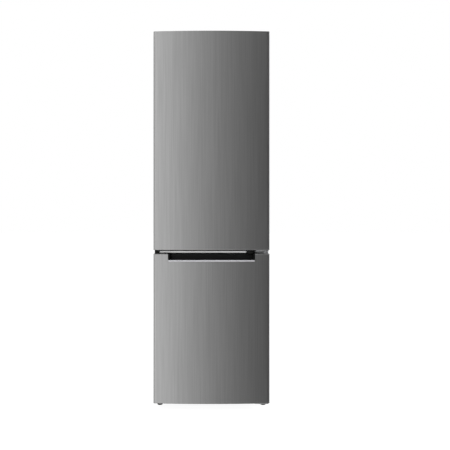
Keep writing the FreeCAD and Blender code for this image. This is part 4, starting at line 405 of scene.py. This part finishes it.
# handle lip: a bar with a rounded nose that follows the door's crown, with rounded ends
lip = {"nose": 3.2 * mm, "end": 3.0 * mm, "endSteps": 6, "steps": 41, "thinShare": 0.9}
low, high = boxOf("handle_lip")
ends = lip["end"] * (1 - np.cos(np.linspace(0, math.pi / 2, lip["endSteps"])))
x = np.concatenate([low[0] + ends, np.linspace(low[0] + lip["end"], high[0] - lip["end"], lip["steps"])[1:-1],
                    high[0] - ends[::-1]])
over = np.maximum(abs(x) - (high[0] - lip["end"]), 0) / lip["end"]
inset = lip["end"] * (1 - np.sqrt(np.maximum(1 - over ** 2, 0)))
frontY = low[1] + skin["crown"] * (x / cadHigh[0]) ** 2
thin = inset * lip["thinShare"]
replaceNode("handle_lip", [loft([
    onPlane(roundLoop((y + e, low[2] + t), (high[1], high[2] - t), lip["nose"]), 0, at)
    for at, y, e, t in zip(x, frontY, inset, thin)])])

# gaskets: one bellows section carried round the door with mitred corners; each pair is (mm in from the edge, mm out)
gasketSection = np.array([(0, 0), (14, 0), (14, 1.5), (12.6, 2.5), (14, 3.8), (14, 5), (12.5, 5.8), (12.2, 8),
                          (11.5, 9.4), (9.5, 9.65), (4.5, 9.65), (2.5, 9.4), (1.8, 8), (1.5, 5.8), (0, 5), (0, 3.8),
                          (1.4, 2.5), (0, 1.5)]) * mm
for node in ("fridge_door_gasket", "freezer_door_gasket"):
    low, high = boxOf(node)
    rings = [onPlane(np.array([(low[0] + e, low[2] + e), (high[0] - e, low[2] + e), (high[0] - e, high[2] - e),
                               (low[0] + e, high[2] - e)]), 1, low[1] + out) for e, out in gasketSection]
    replaceNode(node, [loft(rings, loop=True)], crease=50)
print("handle lip and gaskets made")

# bins and drawers: thin cups; a drawer has a pull along its front and ribs that stiffen it
doorBin = {"corner": 14 * mm, "wall": 2.4 * mm, "foot": 7 * mm}
for node in ("bottle_bin", "middle_bin"):
    replaceNode(node, [cup(*boxOf(node), doorBin["corner"], doorBin["wall"], doorBin["foot"])])

drawer = {"wall": 2.2 * mm, "foot": 9 * mm, "ribHigh": 5 * mm, "ribDeep": 1.2 * mm, "ribs": 3, "ribSteps": 4,
          "bevelShare": 0.3}
freezerPull = (18 * mm, 12 * mm, 30 * mm, 3 * mm)  # corner, pull's depth and height, and its thickness
drawers = {"crisper_drawer": (26 * mm, 9 * mm, 22 * mm, 2.2 * mm), "lower_freezer_drawer": freezerPull,
           "middle_freezer_drawer": freezerPull, "upper_freezer_drawer": freezerPull}
for node, (corner, gripDeep, gripHigh, panel) in drawers.items():
    low, high = boxOf(node)
    front = low[1] + gripDeep
    body = cup(np.array([low[0], front, low[2]]), high, corner, drawer["wall"], drawer["foot"])
    wallMiddle, inside, underside = front + drawer["wall"] / 2, low[1] + panel, high[2] - panel
    gripLow, bevel = high[2] - gripHigh, panel * drawer["bevelShare"]
    hook = np.array([(wallMiddle, underside), (inside, underside), (inside, gripLow), (low[1], gripLow),
                     (low[1], underside), (low[1] + bevel, high[2] - bevel), (inside, high[2]),
                     (wallMiddle, high[2])])
    pull = barAlong(hook, 0, low[0] + corner, high[0] - corner, panel / 3)
    room = gripLow - low[2] - drawer["foot"]
    shapes = [body, pull]
    for rib in range(drawer["ribs"]):
        at = low[2] + drawer["foot"] + room * (rib + 0.5) / drawer["ribs"]
        section = roundLoop((front - drawer["ribDeep"], at - drawer["ribHigh"] / 2),
                            (wallMiddle, at + drawer["ribHigh"] / 2), drawer["ribDeep"], drawer["ribSteps"])
        shapes.append(barAlong(section, 0, low[0] + corner, high[0] - corner, drawer["ribDeep"]))
    replaceNode(node, shapes)

tray = {"corner": 20 * mm, "wall": 2 * mm, "foot": 8 * mm}
replaceNode("evaporation_tray", [cup(*boxOf("evaporation_tray"), tray["corner"], tray["wall"], tray["foot"])])
print("bins, drawers and tray made")

# condenser: a round tube that winds down the back with two layers of wires welded across it
coil = {"tube": 2.4 * mm, "runs": 15, "pitch": 84 * mm, "overRun": 13 * mm, "inner": 217 * mm, "drierEnd": 196.5 * mm,
        "wire": 0.75 * mm, "wires": 26, "wireSides": 6, "bendShare": 0.45, "wireInset": 43 * mm}
low, high = boxOf("condenser")
tubeX, tubeY = high[0] - coil["tube"], (low[1] + high[1]) / 2
topZ = high[2] - coil["overRun"]
corners = [(tubeX, tubeY, low[2]), (tubeX, tubeY, topZ)]
for run in range(coil["runs"]):
    level = topZ - coil["pitch"] * run
    pair = [(-tubeX, tubeY, level), (coil["inner"], tubeY, level)]
    pair = pair if run % 2 else pair[::-1]
    corners += pair if run else pair[1:]
corners.append((-tubeX, tubeY, coil["drierEnd"]))
shapes = [tube(bentPath(corners, coil["pitch"] * coil["bendShare"]), coil["tube"], (0, 1, 0))]
bottomZ = topZ - coil["pitch"] * (coil["runs"] - 1) - coil["overRun"]
for x in np.linspace(-1, 1, coil["wires"]) * (tubeX - coil["wireInset"]):
    for y in (low[1] + coil["wire"], high[1] - coil["wire"]):
        shapes.append(tube(np.array([(x, y, bottomZ), (x, y, high[2])]), coil["wire"], (0, 1, 0), coil["wireSides"]))
replaceNode("condenser", shapes, crease=60)

# evaporator shelves: a tube that winds to and fro, with wires along it
shelfCoil = {"tube": 4 * mm, "runs": 6, "wire": 1.2 * mm, "wires": 9, "wireSides": 8, "bendShare": 0.45,
             "wireInset": 36 * mm}
for node in ("lower_evaporator", "upper_evaporator"):
    low, high = boxOf(node)
    tubeX, tubeZ = high[0] - shelfCoil["tube"], low[2] + shelfCoil["tube"]
    levels = np.linspace(low[1] + shelfCoil["tube"], high[1] - shelfCoil["tube"], shelfCoil["runs"])
    corners = [(side * tubeX, y, tubeZ) for run, y in enumerate(levels) for side in ((1, -1) if run % 2 else (-1, 1))]
    bend = (levels[1] - levels[0]) * shelfCoil["bendShare"]
    shapes = [tube(bentPath(corners, bend), shelfCoil["tube"], (0, 0, 1))]
    wireZ = high[2] - shelfCoil["wire"]
    for x in np.linspace(-1, 1, shelfCoil["wires"]) * (tubeX - shelfCoil["wireInset"]):
        line = np.array([(x, low[1], wireZ), (x, high[1], wireZ)])
        shapes.append(tube(line, shelfCoil["wire"], (0, 0, 1), shelfCoil["wireSides"]))
    replaceNode(node, shapes, crease=60)

# refrigerant pipes: discharge, suction and liquid lines, a spun filter drier and its capillary
pipes = {"tube": 3 * mm, "bend": 16 * mm, "pot": 168 * mm, "y": 172 * mm, "side": 233 * mm, "discharge": 111.5 * mm,
         "suction": 158.5 * mm, "reach": 40 * mm, "liquid": 199.5 * mm, "drier": -165 * mm, "drierLong": 80 * mm,
         "neck": 14 * mm, "capillary": 1.5 * mm, "capillarySides": 8, "drierSides": 32}
low, high = boxOf("refrigerant_pipes")
line = pipes["y"]
discharge = bentPath([(pipes["pot"], line, pipes["discharge"]), (pipes["side"], line, pipes["discharge"]),
                      (pipes["side"], high[1], pipes["discharge"])], pipes["bend"])
suction = bentPath([(pipes["pot"], line, pipes["suction"]), (pipes["pot"] + pipes["reach"], line, pipes["suction"]),
                    (pipes["pot"] + pipes["reach"], line, high[2])], pipes["bend"])
liquid = bentPath([(-pipes["side"], high[1], pipes["liquid"]), (-pipes["side"], line, pipes["liquid"]),
                   (pipes["drier"], line, pipes["liquid"])], pipes["bend"])
drierEnd = pipes["drier"] + pipes["drierLong"]
capillary = bentPath([(drierEnd, line, pipes["liquid"]), (drierEnd + pipes["neck"], line, pipes["liquid"]),
                      (drierEnd + pipes["neck"], line, high[2])], pipes["bend"] / 2)
spun = np.array([(3.2, 0), (3.6, 3), (5.5, 6), (8.2, 10), (9, 14), (9, 66), (8.2, 70), (5.2, 74), (2.6, 77),
                 (2, 80)]) * mm  # the drier's mm radius and mm along
replaceNode("refrigerant_pipes", [
    tube(discharge, pipes["tube"], (0, 0, 1)), tube(suction, pipes["tube"], (0, 1, 0)),
    tube(liquid, pipes["tube"], (0, 0, 1)), tube(capillary, pipes["capillary"], (0, 1, 0), pipes["capillarySides"]),
    turned(spun, (pipes["drier"], line, pipes["liquid"]), 0, pipes["drierSides"])])
print("coils and pipes bent")

# compressor: a deep-drawn pot with a welded seam below its middle, on a foot plate; each loop is (mm up, mm in)
pot = {"left": -28 * mm, "right": 168 * mm, "front": 113 * mm, "back": 231 * mm, "corner": 52 * mm, "cornerSteps": 12,
       "foot": 3 * mm, "plateCorner": 14 * mm, "plateLoops": [(0, 0.5), (0.5, 0), (2.5, 0), (3, 0.5)],
       "loops": [(0, 16), (2, 11), (6, 6), (12, 2.5), (20, 0.6), (30, 0), (66, 0), (67.2, -1.5), (67.6, -4),
                 (71.4, -4), (71.8, -1.2), (73, 0), (108, 0), (116, 1), (124, 4.5), (132, 10.5), (139, 17), (144, 24),
                 (147.5, 32), (149.5, 41), (150, 50)]}
low, high = boxOf("compressor")
potLow, potHigh = np.array([pot["left"], pot["front"]]), np.array([pot["right"], pot["back"]])
plateLow, plateHigh = np.array([low[0], pot["front"]]), np.array([high[0], pot["back"]])
rings = [onPlane(roundLoop(potLow + e * mm, potHigh - e * mm, pot["corner"] - e * mm, pot["cornerSteps"]), 2,
                 low[2] + pot["foot"] + z * mm) for z, e in pot["loops"]]
plateRings = [onPlane(roundLoop(plateLow + e * mm, plateHigh - e * mm, pot["plateCorner"]), 2, low[2] + z * mm)
              for z, e in pot["plateLoops"]]
replaceNode("compressor", [loft(rings), loft(plateRings)], crease=50)

# grommets, cord gland, feet, rollers and knob are turned; each profile is (mm radius, mm along)
grommet = {"radius": 11 * mm, "sides": 32}
profile = np.array([(8.5, 0), (10.6, 0.4), (11, 1.4), (11, 4), (10, 5), (8.8, 5.6), (8.8, 7.4), (10, 8), (11, 9),
                    (11, 11.6), (10.4, 12.8), (8.5, 13), (4.2, 13), (4, 12.4), (4, 9)]) * mm
low, high = boxOf("compressor_grommets")
replaceNode("compressor_grommets", [turned(profile, (x, y, low[2]), 2, grommet["sides"])
                                    for x in (low[0] + grommet["radius"], high[0] - grommet["radius"])
                                    for y in (low[1] + grommet["radius"], high[1] - grommet["radius"])], crease=30)

glandSides = 40
profile = np.array([(7.2, 0), (8, 0.4), (8, 2.4), (6.6, 3), (6.6, 4.2), (7.6, 4.8), (7.6, 6), (6.4, 6.6), (6.4, 7.8),
                    (7.3, 8.4), (7.3, 9.6), (6.2, 10.2), (6.2, 11.4), (6.9, 12), (6.8, 13.4), (6.2, 14), (4.2, 14),
                    (3.7, 13.6), (3.65, 13), (3.65, 3)]) * mm
low, high = boxOf("cord_gland")
start = ((low[0] + high[0]) / 2, low[1], (low[2] + high[2]) / 2)
replaceNode("cord_gland", [turned(profile, start, 1, glandSides)], crease=30)

foot = {"overlap": 1 * mm, "disc": 12 * mm, "stud": 5 * mm, "pitch": 1.6 * mm, "thread": 0.45 * mm, "endShare": 0.7,
        "flutes": 12, "fluteDeep": 0.7 * mm, "discSides": 72, "studSides": 20}
for node in ("left_foot", "right_foot"):
    low, high = boxOf(node)
    middle = ((low[0] + high[0]) / 2, (low[1] + high[1]) / 2, 0)
    disc = np.array([(11.4, 0), (12.6, 0.5), (13, 1.6), (13, 10.2), (12.6, 11.4), (11.6, 12), (5, 12)]) * mm
    height = np.arange(foot["disc"] - foot["overlap"], high[2] - foot["overlap"], foot["pitch"] / 4)
    radius = foot["stud"] - foot["thread"] * (1 - np.cos(height / foot["pitch"] * 2 * math.pi)) / 2
    stud = np.column_stack([np.append(radius, foot["stud"] * foot["endShare"]), np.append(height, high[2])])
    replaceNode(node, [turned(disc, middle, 2, foot["discSides"], foot["flutes"], foot["fluteDeep"]),
                       turned(stud, middle, 2, foot["studSides"])], crease=45)

roller = {"centre": 237 * mm, "wheelSides": 56, "axle": 4 * mm, "axleEnd": 3.2 * mm, "axleBevel": 0.8 * mm,
          "axleSides": 24}
wheel = np.array([(4, -8), (6.5, -8), (7, -7.4), (7, -6.2), (12.6, -6.2), (13.2, -7.6), (16.2, -8), (17, -7), (17, 7),
                  (16.2, 8), (13.2, 7.6), (12.6, 6.2), (7, 6.2), (7, 7.4), (6.5, 8), (4, 8)]) * mm
low, high = boxOf("rear_rollers")
centre = np.array([0, (low[1] + high[1]) / 2, (low[2] + high[2]) / 2])
axle = np.array([(roller["axleEnd"], 0), (roller["axle"], roller["axleBevel"]),
                 (roller["axle"], high[0] * 2 - roller["axleBevel"]), (roller["axleEnd"], high[0] * 2)])
replaceNode("rear_rollers", [turned(axle, centre + (low[0], 0, 0), 0, roller["axleSides"])]
            + [turned(wheel, centre + (side * roller["centre"], 0, 0), 0, roller["wheelSides"]) for side in (-1, 1)],
            crease=30)

knob = {"bar": 6 * mm, "barShare": 0.9, "barDeep": 12 * mm, "barCorner": 2.6 * mm, "barSteps": 8, "barEdge": 1.4 * mm,
        "flutes": 32, "fluteDeep": 0.45 * mm, "discSides": 96, "stemSides": 24}
low, high = boxOf("thermostat_knob")
middle = np.array([(low[0] + high[0]) / 2, low[1], (low[2] + high[2]) / 2])
disc = np.array([(12, 6), (14.6, 6.2), (16.2, 7), (17, 8.6), (17, 14.2), (16.6, 15)]) * mm
reach = np.array([knob["bar"] / 2, (high[2] - low[2]) / 2 * knob["barShare"]])
section = roundLoop(middle[[0, 2]] - reach, middle[[0, 2]] + reach, knob["barCorner"], knob["barSteps"])
stem = np.array([(4, 14), (4, 22.6), (3.4, 23.5)]) * mm
replaceNode("thermostat_knob", [
    turned(disc, middle, 1, knob["discSides"], knob["flutes"], knob["fluteDeep"]),
    barAlong(section, 1, middle[1], middle[1] + knob["barDeep"], knob["barEdge"]),
    turned(stem, middle, 1, knob["stemSides"])], crease=32)
print("compressor and turned pieces made")

# screws round the back panel, each with a domed head and a shallow dish in place of its cross slot (mm radius, mm up)
screw = {"inset": 12 * mm, "rows": 8, "columns": 5, "sides": 20}
head = np.array([(4.2, 0), (4.2, 0.3), (3.6, 1.0), (2.4, 1.45), (1.5, 1.5), (1.2, 1.0), (0.9, 0.5), (0.2, 0.4)]) * mm
low, high = boxOf("back_panel")
spots = [(x, z) for x in (low[0] + screw["inset"], high[0] - screw["inset"])
         for z in np.linspace(low[2] + screw["inset"] * 2, high[2] - screw["inset"] * 2, screw["rows"])]
spots += [(x, high[2] - screw["inset"]) for x in np.linspace(low[0], high[0], screw["columns"] + 2)[1:-1]]
heads = [turned(head, (x, high[1], z), 1, screw["sides"]) for x, z in spots]
newPiece("back_screws", heads, "hinge_steel", "cabinet", [], crease=40)
print("back screws set:", len(heads))

# every other node keeps the form of its CAD solid, merged and given the small radii of real edges, here in mm
edgeRadius = {"black_plastic": 0.8, "cap_grey": 0.7, "clear_plastic": 0.7, "liner_white": 1.2, "trim_grey": 0.5,
              "hinge_steel": 0.4, "zinc_sheet": 0.3, "side_sheet": 0.3, "shelf_glass": 0.5, "knob_grey": 0.6}
keptAsCad = {"cabinet_foam", "fridge_door_foam", "freezer_door_foam"}
dress = {"merge": 0.004 * mm, "flatAngle": 0.5, "bevelAngle": 46, "segments": 2}


def dressNode(node):
    solid, slot = nodes[node], slotOf[node]
    if node in keptAsCad:
        solid.data.materials.clear()
        solid.data.materials.append(materials[slot])
        return
    piece = bpy.data.objects.new(node + dressedEnding, solid.data.copy())
    bpy.context.scene.collection.objects.link(piece)
    weld = piece.modifiers.new("weld", "WELD")
    weld.merge_threshold = dress["merge"]
    flat = piece.modifiers.new("flat", "DECIMATE")
    flat.decimate_type = "DISSOLVE"
    flat.angle_limit = math.radians(dress["flatAngle"])
    edge = piece.modifiers.new("edge", "BEVEL")
    edge.width = edgeRadius[slot] * mm
    edge.segments = dress["segments"]
    edge.limit_method = "ANGLE"
    edge.angle_limit = math.radians(dress["bevelAngle"])
    edge.use_clamp_overlap = True
    edge.harden_normals = True
    piece.data.polygons.foreach_set("use_smooth", np.ones(len(piece.data.polygons), bool))
    finishPiece(piece, slot, bodyOf[node], [node])


made = {piece.name.removesuffix(madeEnding) for piece in bpy.data.objects if piece.name.endswith(madeEnding)}
for node in nodes:
    if node not in made:
        dressNode(node)
print("CAD nodes dressed:", len(nodes) - len(made))

# camera: square to the doors, at the height and distance that give the photograph's outline
camera = {"distance": 2.5, "height": 0.909, "framePixels": 450, "widthPixels": 116.45, "centrePixel": 211.5,
          "topPixel": 31.38, "sensor": 36.0, "edgeBehind": 13 * mm}
frontPlane = cadLow[1] + camera["edgeBehind"]  # where the doors' side edges are
frameWidth = camera["framePixels"] * (cadHigh[0] - cadLow[0]) / camera["widthPixels"]
lens = bpy.data.cameras.new("camera")
lens.sensor_width = camera["sensor"]
lens.lens = camera["sensor"] * camera["distance"] / frameWidth
lens.shift_x = 0.5 - camera["centrePixel"] / camera["framePixels"]
lens.shift_y = (cadHigh[2] - camera["height"]) / frameWidth - (0.5 - camera["topPixel"] / camera["framePixels"])
eye = bpy.data.objects.new("camera", lens)
eye.location = (0, frontPlane - camera["distance"], camera["height"])
eye.rotation_euler = (math.pi / 2, 0, 0)
scene = bpy.context.scene
scene.collection.objects.link(eye)
scene.camera = eye
scene.view_settings.view_transform = "Standard"

stage = {"white": "#ffffff", "floor": "#f4f4f4", "worldLight": 0.8, "glow": 1.16, "shadowShare": 0.22,
         "floorHalf": 30.0, "wallRadius": 6.0, "wallLow": -7.0, "wallHigh": 7.0, "wallTurn": 100, "wallSteps": 65}


def seenOrMirrored(tree):  # one for rays from the camera, a mirror or through glass
    path = addNode(tree, "ShaderNodeLightPath").outputs
    first = addNode(tree, "ShaderNodeMath", {0: path["Is Camera Ray"], 1: path["Is Glossy Ray"]}, operation="MAXIMUM")
    return addNode(tree, "ShaderNodeMath", {0: first.outputs[0], 1: path["Is Transmission Ray"]},
                   operation="MAXIMUM").outputs[0]


def emptyMaterial(name):
    material = bpy.data.materials.new(name)
    material.use_nodes = True
    material.node_tree.nodes.clear()
    return material, material.node_tree


def stagePiece(name, points, faces, material):
    mesh = bpy.data.meshes.new(name)
    mesh.from_pydata(np.asarray(points, float).tolist(), [], np.asarray(faces).tolist())
    piece = bpy.data.objects.new(name, mesh)
    scene.collection.objects.link(piece)
    mesh.materials.append(material)
    return piece


world = bpy.data.worlds.new("studio")
scene.world = world
world.use_nodes = True
sky = world.node_tree
sky.nodes.clear()
strength = addNode(sky, "ShaderNodeMapRange", {"Value": seenOrMirrored(sky), "To Min": stage["worldLight"],
                                               "To Max": 1.0})
back = addNode(sky, "ShaderNodeBackground", {"Color": linear(stage["white"]), "Strength": strength.outputs["Result"]})
addNode(sky, "ShaderNodeOutputWorld", {"Surface": back.outputs["Background"]})

paleFloor, tree = emptyMaterial("pale_floor")
matte = addNode(tree, "ShaderNodeBsdfDiffuse", {"Color": linear(stage["floor"])})
glow = addNode(tree, "ShaderNodeEmission", {"Color": linear(stage["white"]), "Strength": stage["glow"]})
share = addNode(tree, "ShaderNodeMapRange", {"Value": seenOrMirrored(tree), "To Min": 0.0,
                                             "To Max": 1 - stage["shadowShare"]})
mixed = addNode(tree, "ShaderNodeMixShader", {"Fac": share.outputs["Result"], 1: matte.outputs["BSDF"],
                                              2: glow.outputs["Emission"]})
addNode(tree, "ShaderNodeOutputMaterial", {"Surface": mixed.outputs["Shader"]})
wide = stage["floorHalf"]
floor = stagePiece("floor", [(-wide, -wide, 0), (wide, -wide, 0), (wide, wide, 0), (-wide, wide, 0)],
                   [(0, 1, 2, 3)], paleFloor)
floor.visible_glossy = False

# a softbox wall that only gloss sees, bright on the left and falling away to the right, as the doors show it
softWall, tree = emptyMaterial("softbox_wall")
across = addNode(tree, "ShaderNodeSeparateXYZ", {"Vector": addNode(tree, "ShaderNodeTexCoord").outputs["Object"]})
spread = addNode(tree, "ShaderNodeMapRange", {"Value": across.outputs["X"], "From Min": -stage["wallRadius"],
                                              "From Max": stage["wallRadius"]})
fade = addNode(tree, "ShaderNodeValToRGB", {"Fac": spread.outputs["Result"]})
glows = [(0.0, 0.6), (0.27, 0.92), (0.342, 1.6), (0.386, 1.02), (0.43, 0.655), (0.465, 0.52), (0.5, 0.40),
         (0.535, 0.315), (0.57, 0.23), (0.6, 0.16), (0.638, 0.11), (0.683, 0.09), (0.8, 0.075), (1.0, 0.3)]
while len(fade.color_ramp.elements) < len(glows):
    fade.color_ramp.elements.new(0.5)
for stop, (place, level) in zip(fade.color_ramp.elements, glows):
    stop.position = place
    stop.color = (level, level, level, 1)
shine = addNode(tree, "ShaderNodeEmission", {"Color": fade.outputs["Color"], "Strength": 1.0})
addNode(tree, "ShaderNodeOutputMaterial", {"Surface": shine.outputs["Emission"]})
turns = np.radians(np.linspace(-stage["wallTurn"], stage["wallTurn"], stage["wallSteps"]))
wallX, wallY = stage["wallRadius"] * np.sin(turns), -stage["wallRadius"] * np.cos(turns)
rows = [np.column_stack([wallX, wallY, np.full_like(wallX, z)]) for z in (stage["wallLow"], stage["wallHigh"])]
index, count = np.arange(len(turns) - 1), len(turns)
quads = np.column_stack([index, index + 1, index + 1 + count, index + count])
wall = stagePiece("softbox_wall", np.vstack(rows), quads, softWall)
wall.visible_camera = wall.visible_diffuse = wall.visible_shadow = wall.visible_transmission = False

# soft area lamps: where they stand, how wide they are and their watts
lamps = {"key": ((-2.6, -3.0, 3.2), 2.6, 60), "fill": ((3.2, -2.4, 1.6), 2.2, 24), "rear": ((0.8, 3.6, 2.6), 2.4, 60)}
aim = Vector((0, 0, 0.9))
for name, (place, size, watts) in lamps.items():
    lamp = bpy.data.lights.new(name, "AREA")
    lamp.size = size
    lamp.energy = watts
    holder = bpy.data.objects.new(name, lamp)
    holder.location = place
    holder.rotation_mode = "QUATERNION"
    holder.rotation_quaternion = (aim - Vector(place)).to_track_quat("-Z", "Y")
    holder.visible_glossy = False
    scene.collection.objects.link(holder)
print("camera, stage and lamps set")
